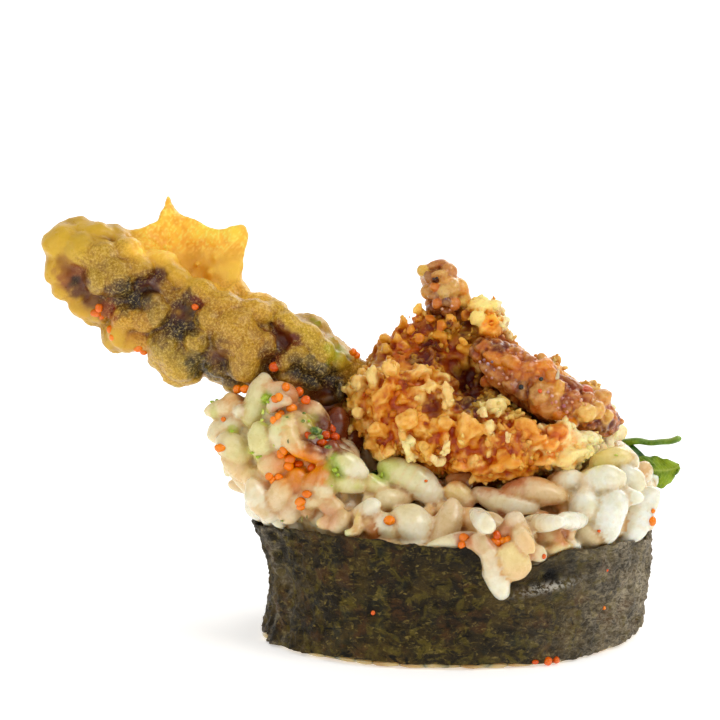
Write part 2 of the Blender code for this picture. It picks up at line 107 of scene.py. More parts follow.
def cells(p, seed=0):
    """Distances to the nearest and second nearest of one random point per unit cell, and the nearest one's number 0..1."""
    base = np.floor(p).astype(np.int64)
    one, two, who = np.full(len(p), 9.0), np.full(len(p), 9.0), np.zeros(len(p))
    for dx in (-1, 0, 1):
        for dy in (-1, 0, 1):
            for dz in (-1, 0, 1):
                cx, cy, cz = base[:, 0] + dx, base[:, 1] + dy, base[:, 2] + dz
                q = np.stack([cx + hashed(cx, cy, cz, seed), cy + hashed(cx, cy, cz, seed + 1),
                              cz + hashed(cx, cy, cz, seed + 2)], 1)
                d = np.linalg.norm(q - p, axis=1)
                near = d < one
                two = np.where(near, one, np.minimum(two, d))
                who = np.where(near, hashed(cx, cy, cz, seed + 3), who)
                one = np.where(near, d, one)
    return one, two, who


def smooth(a, b, x):
    t = np.clip((x - a) / (b - a), 0.0, 1.0)
    return t * t * (3.0 - 2.0 * t)


# ------------------------------------------------------------------- mesh helpers
def arrays(mesh):
    """Vertices in mm and triangles of a Blender mesh."""
    mesh.calc_loop_triangles()
    co = np.empty(len(mesh.vertices) * 3, np.float32)
    mesh.vertices.foreach_get("co", co)
    tri = np.empty(len(mesh.loop_triangles) * 3, np.int32)
    mesh.loop_triangles.foreach_get("vertices", tri)
    return co.reshape(-1, 3).astype(float) * 1000.0, tri.reshape(-1, 3)


def bare_mesh(name, verts, faces):
    """A Blender mesh from mm vertices and faces that all have the same number of corners."""
    faces = np.asarray(faces, np.int32)
    n = faces.shape[1]
    mesh = bpy.data.meshes.new(name)
    mesh.vertices.add(len(verts))
    mesh.vertices.foreach_set("co", (np.asarray(verts) * 0.001).astype(np.float32).ravel())
    mesh.loops.add(len(faces) * n)
    mesh.loops.foreach_set("vertex_index", faces.ravel())
    mesh.polygons.add(len(faces))
    mesh.polygons.foreach_set("loop_start", np.arange(0, len(faces) * n, n, dtype=np.int32))
    mesh.update(calc_edges=True)
    return mesh


def make(name, verts, faces, material, replaces=(), colours=None, extra=None, flat=False):
    verts = np.array(verts)
    verts[:, 2] = np.maximum(verts[:, 2], 0.02)
    mesh = bare_mesh(name, verts, faces)
    if not flat:
        mesh.shade_smooth()
    if colours is not None:
        layer = mesh.color_attributes.new("tint", "FLOAT_COLOR", "POINT")
        rgba = np.ones((len(verts), 4), np.float32)
        rgba[:, :3] = np.clip(colours, 0.0, 1.0)
        layer.data.foreach_set("color", rgba.ravel())
    for key, values in (extra or {}).items():
        layer = mesh.attributes.new(key, "FLOAT", "POINT")
        layer.data.foreach_set("value", np.asarray(values, np.float32))
    mesh.materials.append(material)
    obj = bpy.data.objects.new(name, mesh)
    scene.collection.objects.link(obj)
    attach(obj, "root")
    if replaces:
        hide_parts(*replaces)
    return obj


def remeshed(verts, faces, voxel, iterations=0, factor=0.5):
    """One skin over overlapping closed meshes, as vertices in mm and quads."""
    mesh = bare_mesh("tmp", verts, faces)
    obj = bpy.data.objects.new("tmp", mesh)
    scene.collection.objects.link(obj)
    mod = obj.modifiers.new("r", "REMESH")
    mod.mode = "VOXEL"
    mod.voxel_size = voxel * 0.001
    if iterations:
        sm = obj.modifiers.new("s", "SMOOTH")
        sm.factor = factor
        sm.iterations = iterations
    bpy.context.view_layer.update()
    out = bpy.data.meshes.new_from_object(obj.evaluated_get(bpy.context.evaluated_depsgraph_get()))
    co = np.empty(len(out.vertices) * 3, np.float32)
    out.vertices.foreach_get("co", co)
    loops = np.empty(len(out.loops), np.int32)
    out.loops.foreach_get("vertex_index", loops)
    totals = np.empty(len(out.polygons), np.int32)
    out.polygons.foreach_get("loop_total", totals)
    assert (totals == 4).all()
    bpy.data.objects.remove(obj, do_unlink=True)
    bpy.data.meshes.remove(mesh)
    bpy.data.meshes.remove(out)
    return co.reshape(-1, 3).astype(float) * 1000.0, loops.reshape(-1, 4)


def normals_of(verts, faces):
    n = np.zeros_like(verts)
    a, b, c = verts[faces[:, 0]], verts[faces[:, 1]], verts[faces[:, -1]]
    fn = np.cross(b - a, c - a)
    for k in range(faces.shape[1]):
        np.add.at(n, faces[:, k], fn)
    return n / (np.linalg.norm(n, axis=1, keepdims=True) + 1e-12)


def relax(verts, faces, times=1, amount=0.5):
    n = len(verts)
    k = faces.shape[1]
    a = np.concatenate([faces[:, i] for i in range(k)])
    b = np.concatenate([faces[:, (i + 1) % k] for i in range(k)])
    src, dst = np.concatenate([a, b]), np.concatenate([b, a])
    count = np.bincount(dst, minlength=n)[:, None]
    for _ in range(times):
        mean = np.stack([np.bincount(dst, weights=verts[src, i], minlength=n) for i in range(3)], 1) / count
        verts = verts + (mean - verts) * amount
    return verts


def field_relax(values, faces, times=1):
    n = len(values)
    k = faces.shape[1]
    a = np.concatenate([faces[:, i] for i in range(k)])
    b = np.concatenate([faces[:, (i + 1) % k] for i in range(k)])
    src, dst = np.concatenate([a, b]), np.concatenate([b, a])
    count = np.maximum(np.bincount(dst, minlength=n), 1)
    for _ in range(times):
        values = 0.5 * values + 0.5 * np.bincount(dst, weights=values[src], minlength=n) / count
    return values


def ball(levels):
    bm = bmesh.new()
    bmesh.ops.create_icosphere(bm, subdivisions=levels, radius=1.0)
    verts = np.array([v.co for v in bm.verts])
    faces = np.array([[v.index for v in f.verts] for f in bm.faces])
    bm.free()
    return verts, faces


BALL1, BALL2, BALL3 = ball(1), ball(2), ball(3)


def turned(count):
    """count random rotation matrices."""
    q = rng.normal(size=(count, 4))
    q /= np.linalg.norm(q, axis=1, keepdims=True)
    w, x, y, z = q.T
    return np.stack([np.stack([1 - 2 * (y * y + z * z), 2 * (x * y - z * w), 2 * (x * z + y * w)], 1),
                     np.stack([2 * (x * y + z * w), 1 - 2 * (x * x + z * z), 2 * (y * z - x * w)], 1),
                     np.stack([2 * (x * z - y * w), 2 * (y * z + x * w), 1 - 2 * (x * x + y * y)], 1)], 1)


def blobs(centres, sizes, template=BALL1):
    """Ellipsoids at the centres, each with its own three radii and a random turn."""
    tv, tf = template
    rot = turned(len(centres))
    pts = np.einsum("nij,nvj->nvi", rot, tv[None] * sizes[:, None, :]) + centres[:, None, :]
    faces = (tf[None] + (np.arange(len(centres)) * len(tv))[:, None, None]).reshape(-1, 3)
    return pts.reshape(-1, 3), faces


def joined(*pairs):
    verts, faces, n = [], [], 0
    for v, f in pairs:
        verts.append(v)
        faces.append(f + n)
        n += len(v)
    return np.concatenate(verts), np.concatenate(faces)


def chain(points):
    """Balls along a spine given as (x, y, z, radius)."""
    tv, tf = BALL3
    verts, faces, n = [], [], 0
    for a, b in zip(points, points[1:]):
        for s in np.linspace(0.0, 1.0, 6):
            x, y, z, r = np.array(a) * (1 - s) + np.array(b) * s
            verts.append(tv * r + (x, y, z))
            faces.append(tf + n)
            n += len(tv)
    return np.concatenate(verts), np.concatenate(faces)


def framed(long_way):
    """Orthonormal frames (rows) whose first axis is each given direction."""
    a = long_way / np.linalg.norm(long_way, axis=1, keepdims=True)
    b = np.cross(a, rng.normal(size=a.shape))
    b /= np.linalg.norm(b, axis=1, keepdims=True)
    return np.stack([a, b, np.cross(a, b)], 1)


def gems(centres, sizes, frames, template=BALL2, planes=9, low=0.55):
    """Broken bits with flat faces: a ball cut by random planes, then stretched."""
    tv, tf = template
    k = len(centres)
    n = rng.normal(size=(k, planes, 3))
    n /= np.linalg.norm(n, axis=2, keepdims=True)
    h = rng.uniform(low, 0.95, (k, planes))
    dots = np.einsum("kpj,vj->kpv", n, tv)
    r = np.minimum(np.where(dots > 0.05, h[:, :, None] / np.maximum(dots, 0.05), 9.0).min(1), 1.12)
    pts = np.einsum("kvi,kij->kvj", tv[None] * r[:, :, None] * sizes[:, None, :], frames) + centres[:, None, :]
    faces = (tf[None] + (np.arange(k) * len(tv))[:, None, None]).reshape(-1, 3)
    return pts.reshape(-1, 3), faces


def boxed(v, f, planes):
    """The closed part of a solid behind each plane, given as a point and the way it faces."""
    bm = bmesh.new()
    vs = [bm.verts.new(p) for p in v]
    for t in f:
        try:
            bm.faces.new([vs[i] for i in t])
        except ValueError:
            pass
    for point, way in planes:
        bmesh.ops.bisect_plane(bm, geom=bm.verts[:] + bm.edges[:] + bm.faces[:], plane_co=point, plane_no=way, clear_outer=True)
        bmesh.ops.holes_fill(bm, edges=[e for e in bm.edges if e.is_boundary])
    bmesh.ops.triangulate(bm, faces=bm.faces[:])
    bm.verts.index_update()
    out = np.array([p.co for p in bm.verts]), np.array([[p.index for p in g.verts] for g in bm.faces])
    bm.free()
    return out


def nearest_of(points, queries):
    """Number of, and distance to, the point nearest to each query."""
    tree = KDTree(len(points))
    for i, p in enumerate(points):
        tree.insert(p, i)
    tree.balance()
    found = [tree.find(q) for q in queries]
    return np.array([q[1] for q in found]), np.array([q[2] for q in found])


def ellipsoids(lumps):
    tv, tf = BALL3
    verts, faces, n = [], [], 0
    for x, y, z, *r in lumps:
        r = r * 3 if len(r) == 1 else r
        verts.append(tv * r + (x, y, z))
        faces.append(tf + n)
        n += len(tv)
    return np.concatenate(verts), np.concatenate(faces)


class Skin:
    """A CAD node's surface: rays, nearest points, signed depth and random points on it."""

    def __init__(self, *names):
        self.v, self.f = joined(*[arrays(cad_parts[n].data) for n in names])
        self.tree = BVHTree.FromPolygons([Vector(p) for p in self.v], [tuple(t) for t in self.f])

    def hit(self, u, v, guess=-12.0):
        """(point, normal) where pixel u, v meets the surface, or the surface point nearest to its ray."""
        d = ray(u, v)
        p, n, _, _ = self.tree.ray_cast(Vector(EYE), Vector(d))
        if p is not None:
            return np.array(p), np.array(n)
        best = None
        for y in np.linspace(guess - 6.0, guess + 10.0, 17):
            q = EYE + d * (y - EYE[1]) / d[1]
            p, n, _, dist = self.tree.find_nearest(Vector(q))
            if best is None or dist < best[0]:
                best = (dist, q, np.array(n))
        return best[1], best[2]

    def depth(self, pts):
        """How far each point lies under the surface, negative outside."""
        out = np.empty(len(pts))
        near = self.tree.find_nearest
        for i, q in enumerate(pts):
            p, n, _, dist = near(Vector(q))
            out[i] = dist if (p - Vector(q)).dot(n) > 0 else -dist
        return out

    def away(self, pts):
        near = self.tree.find_nearest
        return np.array([near(Vector(q))[3] for q in pts])

    def scatter(self, count):
        a, b, c = (self.v[self.f[:, i]] for i in range(3))
        fn = np.cross(b - a, c - a)
        area = np.linalg.norm(fn, axis=1)
        pick = rng.choice(len(area), size=count, p=area / area.sum())
        r1, r2 = np.sqrt(rng.random(count)), rng.random(count)
        pts = ((1 - r1)[:, None] * a[pick] + (r1 * (1 - r2))[:, None] * b[pick] + (r1 * r2)[:, None] * c[pick])
        return pts, fn[pick] / area[pick][:, None]


rice_skin = Skin("rice_bed")
crab_skin = Skin("crab_body")
leg_skin = Skin("crab_leg_long")
leaf_skin = Skin("leaf_blade", "leaf_stalk")
heap_skin = Skin("rice_bed", "crab_body", "leaf_liner")
front_skin = Skin("rice_bed", "crab_body", "crab_leg_long", "crab_leg_side", "crab_leg_tip")


def spot(skin, u, v, guess=-12.0):
    return skin.hit(u, v, guess)[0]


def paint(base, verts, skin, daubs, seed=0, wobble=0.35, grain=1.1):
    """Blends soft-edged daubs (u, v, radius mm, sRGB colour, strength) into the base colours.
    Their edges are broken up by noise."""
    out = base.copy()
    jitter = fbm(verts / grain, 3, seed) * wobble
    for daub in daubs:
        u, v, radius, colour = daub[:4]
        strength = daub[4] if len(daub) > 4 else 1.0
        c = spot(skin, u, v)
        d = np.linalg.norm((verts - c) * (1.0, 0.75, 1.0), axis=1) / radius + jitter
        w = (strength * (1.0 - smooth(0.55, 1.15, d)))[:, None]
        out = out * (1 - w) + lin(colour) * w
    return out


# --------------------------------------------------------------------- materials
class Nodes:
    def __init__(self, name):
        self.mat = bpy.data.materials.new(name)
        self.mat.use_nodes = True
        self.tree = self.mat.node_tree
        self.bsdf = self.tree.nodes["Principled BSDF"]
        self.coords = self.tree.nodes.new("ShaderNodeTexCoord").outputs["Object"]

    def set(self, **values):
        for key, value in values.items():
            self.bsdf.inputs[key.replace("_", " ")].default_value = value
        return self

    def link(self, a, b):
        self.tree.links.new(a, b)

    def noise(self, size_mm, detail=3.0, rough=0.55, distortion=0.0, stretch=None):
        n = self.tree.nodes.new("ShaderNodeTexNoise")
        n.inputs["Scale"].default_value = 1000.0 / size_mm
        n.inputs["Detail"].default_value = detail
        n.inputs["Roughness"].default_value = rough
        n.inputs["Distortion"].default_value = distortion
        self.link(self.stretched(stretch), n.inputs["Vector"])
        return n.outputs["Fac"]

    def stretched(self, stretch):
        if stretch is None:
            return self.coords
        m = self.tree.nodes.new("ShaderNodeMapping")
        m.inputs["Scale"].default_value = stretch
        self.link(self.coords, m.inputs["Vector"])
        return m.outputs["Vector"]

    def voronoi(self, size_mm, feature="F1", out="Distance", stretch=None):
        n = self.tree.nodes.new("ShaderNodeTexVoronoi")
        n.feature = feature
        n.inputs["Scale"].default_value = 1000.0 / size_mm
        self.link(self.stretched(stretch), n.inputs["Vector"])
        return n.outputs[out]

    def span(self, value, a, b, lo=0.0, hi=1.0):
        n = self.tree.nodes.new("ShaderNodeMapRange")
        n.interpolation_type = "SMOOTHSTEP"
        for key, x in (("From Min", a), ("From Max", b), ("To Min", lo), ("To Max", hi)):
            n.inputs[key].default_value = x
        self.link(value, n.inputs["Value"])
        return n.outputs["Result"]

    def attribute(self, name, kind="Color"):
        n = self.tree.nodes.new("ShaderNodeAttribute")
        n.attribute_name = name
        return n.outputs[kind]

    def mix(self, fac, a, b, mode="MIX"):
        n = self.tree.nodes.new("ShaderNodeMix")
        n.data_type = "RGBA"
        n.blend_type = mode
        for socket, x in ((n.inputs["Factor"], fac), (n.inputs[6], a), (n.inputs[7], b)):
            if hasattr(x, "is_linked"):
                self.link(x, socket)
            elif isinstance(x, (int, float)):
                socket.default_value = x
            else:
                socket.default_value = (*x, 1.0)
        return n.outputs[2]

    def maths(self, op, a, b):
        n = self.tree.nodes.new("ShaderNodeMath")
        n.operation = op
        for socket, x in zip(n.inputs, (a, b)):
            if hasattr(x, "is_linked"):
                self.link(x, socket)
            else:
                socket.default_value = x
        return n.outputs[0]

    def bump(self, height, strength, distance_mm, under=None):
        n = self.tree.nodes.new("ShaderNodeBump")
        n.inputs["Strength"].default_value = strength
        n.inputs["Distance"].default_value = distance_mm * 0.001
        self.link(height, n.inputs["Height"])
        if under is not None:
            self.link(under, n.inputs["Normal"])
        return n.outputs["Normal"]

    def colour(self, socket):
        self.link(socket, self.bsdf.inputs["Base Color"])

    def rough(self, socket):
        self.link(socket, self.bsdf.inputs["Roughness"])

    def normal(self, socket):
        self.link(socket, self.bsdf.inputs["Normal"])

    def translucent(self, weight, radius, scale_mm):
        self.bsdf.inputs["Subsurface Weight"].default_value = weight
        self.bsdf.inputs["Subsurface Radius"].default_value = radius
        self.bsdf.inputs["Subsurface Scale"].default_value = scale_mm * 0.001
        return self


def rice_material():
    n = Nodes("rice_cooked").translucent(0.95, (1.0, 0.82, 0.54), 1.1)
    n.set(Specular_IOR_Level=0.45, Coat_Weight=0.3, Coat_Roughness=0.1)
    cloud = n.noise(1.3, 3.0)
    n.colour(n.mix(n.span(cloud, 0.36, 0.70, 0.0, 0.8), n.attribute("tint"), lin((242, 238, 222)), "MULTIPLY"))
    n.rough(n.span(n.noise(0.8, 2.0), 0.3, 0.7, 0.20, 0.40))
    fine = n.bump(n.noise(0.4, 3.0, 0.6), 0.10, 0.05)
    n.normal(n.bump(n.noise(1.1, 3.0, 0.6), 0.22, 0.12, fine))
    return n.mat


def roe_material():
    n = Nodes("roe").translucent(0.3, (1.0, 0.35, 0.05), 0.5)
    n.set(Specular_IOR_Level=0.4, Coat_Weight=0.2, Coat_Roughness=0.08)
    n.colour(n.mix(n.span(n.noise(0.5, 2.0), 0.4, 0.8, 0.0, 0.4), n.attribute("tint"), lin((255, 140, 6))))
    n.rough(n.span(n.noise(0.4, 1.0), 0.3, 0.7, 0.14, 0.28))
    return n.mat


def crust_material(name, speck_mm=0.35, speck=0.5, sss=0.3, coat=0.35, rough=(0.22, 0.5), bump=0.5):
    """Fried batter: tinted by its own paint, broken up by fine crystals and oil."""
    n = Nodes(name).translucent(sss, (1.0, 0.55, 0.22), 0.7)
    n.set(Specular_IOR_Level=0.32, Coat_Weight=coat, Coat_Roughness=0.15)
    fine = n.noise(speck_mm, 4.0, 0.7)
    tint = n.attribute("tint")
    dark = n.mix(n.span(fine, 0.52, 0.30, 0.0, speck), tint, lin((206, 140, 70)), "MULTIPLY")
    n.colour(n.mix(n.span(fine, 0.56, 0.78, 0.0, speck), dark, lin((248, 206, 130))))
    n.rough(n.span(n.noise(0.9, 3.0), 0.3, 0.7, *rough))
    grain = n.bump(fine, bump, 0.08)
    n.normal(n.bump(n.noise(1.2, 4.0, 0.6), 0.25, 0.16, grain))
    return n.mat


def batter_material():
    """The long leg's batter: freckled all over, clearer where it is thick."""
    n = Nodes("batter_leg").translucent(0.3, (1.0, 0.68, 0.3), 0.7)
    n.set(Specular_IOR_Level=0.34, Coat_Weight=0.13, Coat_Roughness=0.18)
    fine = n.noise(0.30, 3.0, 0.8)
    tint = n.attribute("tint")
    frost = n.attribute("frost", "Fac")
    dark = n.mix(n.maths("MULTIPLY", n.span(fine, 0.54, 0.36, 0.0, 0.55), frost), tint, lin((160, 126, 76)), "MULTIPLY")
    pale = n.mix(n.maths("MULTIPLY", n.span(fine, 0.50, 0.68, 0.0, 0.5), frost), dark, lin((234, 204, 120)))
    n.colour(pale)
    n.rough(n.span(n.noise(0.8, 3.0), 0.3, 0.7, 0.26, 0.5))
    grain = n.bump(fine, 0.5, 0.10)
    n.normal(n.bump(n.noise(1.5, 3.0, 0.5), 0.3, 0.25, grain))
    return n.mat


def nori_material():
    n = Nodes("nori_sheet")
    n.set(Specular_IOR_Level=0.22, Coat_Weight=0.0)
    big = n.noise(5.5, 4.0, 0.62)
    mid = n.noise(1.5, 5.0, 0.68, 0.8, (0.8, 0.8, 1.3))
    fibre = n.noise(0.6, 4.0, 0.72, 0.9, (0.7, 0.7, 1.3))
    base = n.mix(n.span(big, 0.40, 0.62), lin((34, 25, 4)), lin((80, 62, 16)))
    olive = n.mix(n.span(n.noise(2.0, 4.0, 0.62, 0.8), 0.50, 0.62, 0.0, 0.85), base, lin((98, 84, 22)))
    brown = n.mix(n.span(n.noise(3.2, 4.0, 0.6), 0.52, 0.66, 0.0, 0.75), olive, lin((84, 52, 16)))
    blue = n.mix(n.span(n.noise(2.4, 3.0, 0.6), 0.56, 0.70, 0.0, 0.5), brown, lin((36, 42, 26)))
    fleck = n.mix(n.span(fibre, 0.54, 0.70, 0.0, 0.7), blue, lin((156, 134, 66)))
    pits = n.mix(n.span(mid, 0.48, 0.35, 0.0, 0.95), fleck, lin((12, 8, 2)))
    # painted sheen: grey flecks that stand in for specular glints
    grey = n.mix(n.maths("MULTIPLY", n.attribute("painted_sheen", "Fac"), n.span(fibre, 0.38, 0.62, 0.2, 0.95)),
                 pits, lin((200, 186, 160)))
    # painted highlight: pale ragged flecks along the lip of the fold
    fold_highlight = n.mix(n.maths("MULTIPLY", n.attribute("shine", "Fac"), n.span(n.noise(0.5, 3.0, 0.7), 0.44, 0.58)), grey, lin((206, 200, 186)))
    # near black where the sheet is wet, and as painted shade in the recess of the crease
    n.colour(n.mix(n.attribute("wet_and_shade", "Fac"), fold_highlight, lin((12, 8, 4))))
    n.rough(n.maths("SUBTRACT", n.span(mid, 0.3, 0.7, 0.66, 0.40), n.maths("MULTIPLY", n.attribute("wet_and_shade", "Fac"), 0.28)))
    a = n.bump(n.noise(0.28, 4.0, 0.75), 0.8, 0.18)
    b = n.bump(mid, 0.9, 0.7, a)
    n.normal(n.bump(fibre, 0.8, 0.35, b))
    return n.mat


def leaf_material(name, dark, light, vein):
    n = Nodes(name).translucent(0.2, (0.4, 1.0, 0.1), 0.6)
    n.set(Specular_IOR_Level=0.5, Coat_Weight=0.25, Coat_Roughness=0.12)
    shade = n.mix(n.span(n.noise(1.6, 4.0, 0.6), 0.35, 0.68), lin(dark), lin(light))
    n.colour(n.mix(n.maths("MULTIPLY", n.attribute("vein", "Fac"), 0.8), shade, lin(vein)))
    n.rough(n.span(n.noise(0.8, 3.0), 0.3, 0.7, 0.26, 0.45))
    a = n.bump(n.noise(0.5, 3.0, 0.6), 0.3, 0.06)
    n.normal(n.bump(n.attribute("vein", "Fac"), 0.4, 0.15, a))
    return n.mat


RICE, ROE, NORI = rice_material(), roe_material(), nori_material()
CRUMB = crust_material("fried_crumb", 0.45, 0.34, 0.45, 0.11, (0.28, 0.5), 0.45)
LEGSKIN = crust_material("leg_crust", 0.28, 0.4, 0.45, 0.35, (0.16, 0.36), 0.4)
BATTER = batter_material()

# ---------------------------------------------------------------- the nori's plan
ROLL = np.array([11.6 - 1.06, -0.12])
LAP_DEG, LAP = 62.0, 24.0


def apart(t, c):
    return (t - c + 180.0) % 360.0 - 180.0


def near(t, c, w):
    return np.exp(-((apart(t, c) / w) ** 2))


def plan_radius(t):
    a = np.radians(t)
    return (24.9 * (1.0 + 0.018 * np.cos(2.0 * (a - math.radians(15.0)))) + 0.7 * near(t, 197.0, 11.0)
            + 0.16 * np.sin(5.0 * a + 1.0) + 0.10 * np.sin(9.0 * a))


def nori_top(t):
    a = np.radians(t)
    return (13.7 + 1.5 * np.cos(a - math.radians(225.0)) + 0.7 * near(t, 238.0, 16.0)
            - 3.0 * near(t, 283.0, 6.5) - 0.9 * near(t, 294.0, 6.0)
            + 0.22 * np.sin(7.0 * a + 0.4) + 0.12 * np.sin(13.0 * a + 2.0))


def nori_foot(t):
    a = np.radians(t)
    return 0.55 + 0.25 * np.sin(3.0 * a + 0.5) + 0.10 * np.sin(8.0 * a)


def waist(t, v):
    v = np.clip(v, 0.0, 1.0)
    bow = np.sin(np.pi * v)
    return ((1.15 * (1.0 - v) + 1.6 * bow) * near(t, 190.0, 34.0) + 1.3 * (1.0 - v) ** 2 * near(t, 348.0, 46.0)
            + (0.5 * (1.0 - v) + 0.3 * bow) * near(t, 95.0, 30.0))


def lap_inset(t):
    d = apart(t, LAP_DEG)
    s = np.clip((d - LAP) / 22.0, 0.0, 1.0)
    full = np.where(d < 0.0, 0.95 * (1.0 + d / 8.0), np.where(d <= LAP, 0.95, 0.95 * (1.0 - s * s * (3.0 - 2.0 * s))))
    return np.where((d < -8.0) | (d > LAP + 22.0), 0.0, full)


def build_nori():
    across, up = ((600, 80))
    u, v = np.meshgrid(np.linspace(0.0, 1.0, across), np.linspace(0.0, 1.0, up))
    u, v = u.ravel(), v.ravel()
    t = LAP_DEG + u * (360.0 + LAP)
    a = np.radians(t)
    low, high = nori_foot(t), nori_top(t)
    # torn, slightly uneven edges
    edge = np.stack([a * 25.0, v * 0.0, v * 0.0], 1)
    high = high + 0.30 * fbm(edge / 2.2, 3, 3) + 0.14 * fbm(edge / 0.5, 2, 5) - 0.15
    low = np.maximum(low + 0.2 * fbm(edge / 2.6 + 40.0, 3, 4) + 0.08 * fbm(edge / 0.5 + 9.0, 2, 6), 0.12)
    z = low + (high - low) * v
    arc = np.stack([a * 25.0, z, np.full_like(z, 3.0)], 1)
    inset = np.where(u < 0.5, lap_inset(t), 0.0) + waist(t, v) + 0.25
    side = np.maximum(near(t, 208.0, 16.0), near(t, 345.0, 26.0))
    crumple = (0.28 * fbm(arc / 3.4, 4, 11) + (0.17 + 0.18 * side) * (1.0 - np.abs(fbm(arc * (1.0, 0.8, 1.0) / 1.6, 3, 15)) * 2.6)
               + (0.17 + 0.08 * side) * fbm(arc * (0.8, 1.2, 1.0) / 0.7, 2, 19)
               + 0.22 * near(t, 345.0, 24.0) * (0.5 - np.abs(fbm(arc * (1.0, 0.22, 1.0) / 1.5, 2, 27)) * 3.0))
    ripple = 0.12 * np.sin(z * 2.4 + 1.8 * fbm(arc / 6.0, 2, 23)) * smooth(0.45, 0.85, v) * near(t, 305.0, 36.0)
    # the crease under the hanging grains, where the sheet folds over itself and shines
    crease = near(t, 298.0, 13.0) * np.exp(-((z - 10.7 - 0.05 * apart(t, 298.0)) / 0.9) ** 2)
    lip = near(t, 298.0, 13.0) * np.exp(-((z - 9.5 - 0.05 * apart(t, 298.0)) / 0.55) ** 2)
    r = plan_radius(t) - inset + crumple + ripple - 0.55 * crease + 0.5 * lip
    left_fold = near(t, 206.0, 3.0) * 0.35 - near(t, 212.0, 3.4) * 0.3
    r = np.minimum(r + left_fold, plan_radius(t) + 0.15)
    outer = np.stack([ROLL[0] + r * np.cos(a), ROLL[1] + r * np.sin(a), z], 1)
    thick = 0.30
    inner = np.stack([ROLL[0] + (r - thick) * np.cos(a), ROLL[1] + (r - thick) * np.sin(a), z], 1)
    n = len(u)
    idx = np.arange(n).reshape(up, across)
    q = np.stack([idx[:-1, :-1], idx[:-1, 1:], idx[1:, 1:], idx[1:, :-1]], -1).reshape(-1, 4)
    faces = [q, q[:, ::-1] + n]
    for line, flip in ((idx[0], True), (idx[-1], False)):
        f = np.stack([line[:-1], line[1:], line[1:] + n, line[:-1] + n], 1)
        faces.append(f[:, ::-1] if flip else f[:, [0, 1, 2, 3]][:, ::-1][:, ::-1])
    for line, flip in ((idx[:, 0], False), (idx[:, -1], True)):
        f = np.stack([line[:-1], line[1:], line[1:] + n, line[:-1] + n], 1)
        faces.append(f[:, ::-1] if flip else f)
    verts, faces = np.concatenate([outer, inner]), np.concatenate(faces)
    # dark wet streaks under the rice, and painted shade in the recess of the crease under the hanging grains
    wet_and_shade = np.clip(near(t, 298.0, 15.0) * np.exp(-((z - 10.9) / 1.9) ** 2) * 1.2, 0, 1)
    wet_and_shade = np.clip(wet_and_shade * (0.7 + 0.8 * fbm(arc / 1.6, 3, 31)), 0, 1)
    wet_and_shade = np.maximum(wet_and_shade, 0.45 * near(t, 268.0, 22.0) * smooth(-0.2, 0.5, fbm(arc * (0.5, 1.6, 1.0) / 2.4, 3, 37) + 0.2 * (v - 0.4)))
    # painted highlight along the lip of the fold
    shine = near(t, 297.0, 9.0) * np.exp(-((z - 9.7 - 0.05 * apart(t, 298.0)) / 0.5) ** 2)
    wet_and_shade = wet_and_shade * (1.0 - shine)
    # painted sheen: grey specular flecks over the right side of the sheet and on its left fold
    painted_sheen = np.clip(near(t, 352.0, 40.0) * 1.1 * (0.65 + 0.6 * fbm(arc / 2.2, 3, 33)), 0, 0.95)
    painted_sheen = np.clip(painted_sheen + 0.35 * near(t, 205.0, 9.0) * smooth(-0.2, 0.4, fbm(arc / 1.4, 3, 35)), 0, 1)
    make("nori", verts, faces, NORI, ("nori_wrap",),
         extra={"wet_and_shade": np.tile(wet_and_shade, 2), "painted_sheen": np.tile(painted_sheen, 2), "shine": np.tile(shine, 2)})


build_nori()

# -------------------------------------------------------------------------- rice
TINTS = {
    "W": (236, 231, 210), "C": (232, 220, 182), "G": (222, 217, 158), "P": (230, 200, 150), "K": (228, 207, 168),
    "S": (224, 190, 144), "T": (214, 186, 138), "O": (222, 138, 60), "Y": (234, 214, 154), "M": (228, 211, 182),
    "B": (184, 120, 56), "D": (126, 58, 22),
}
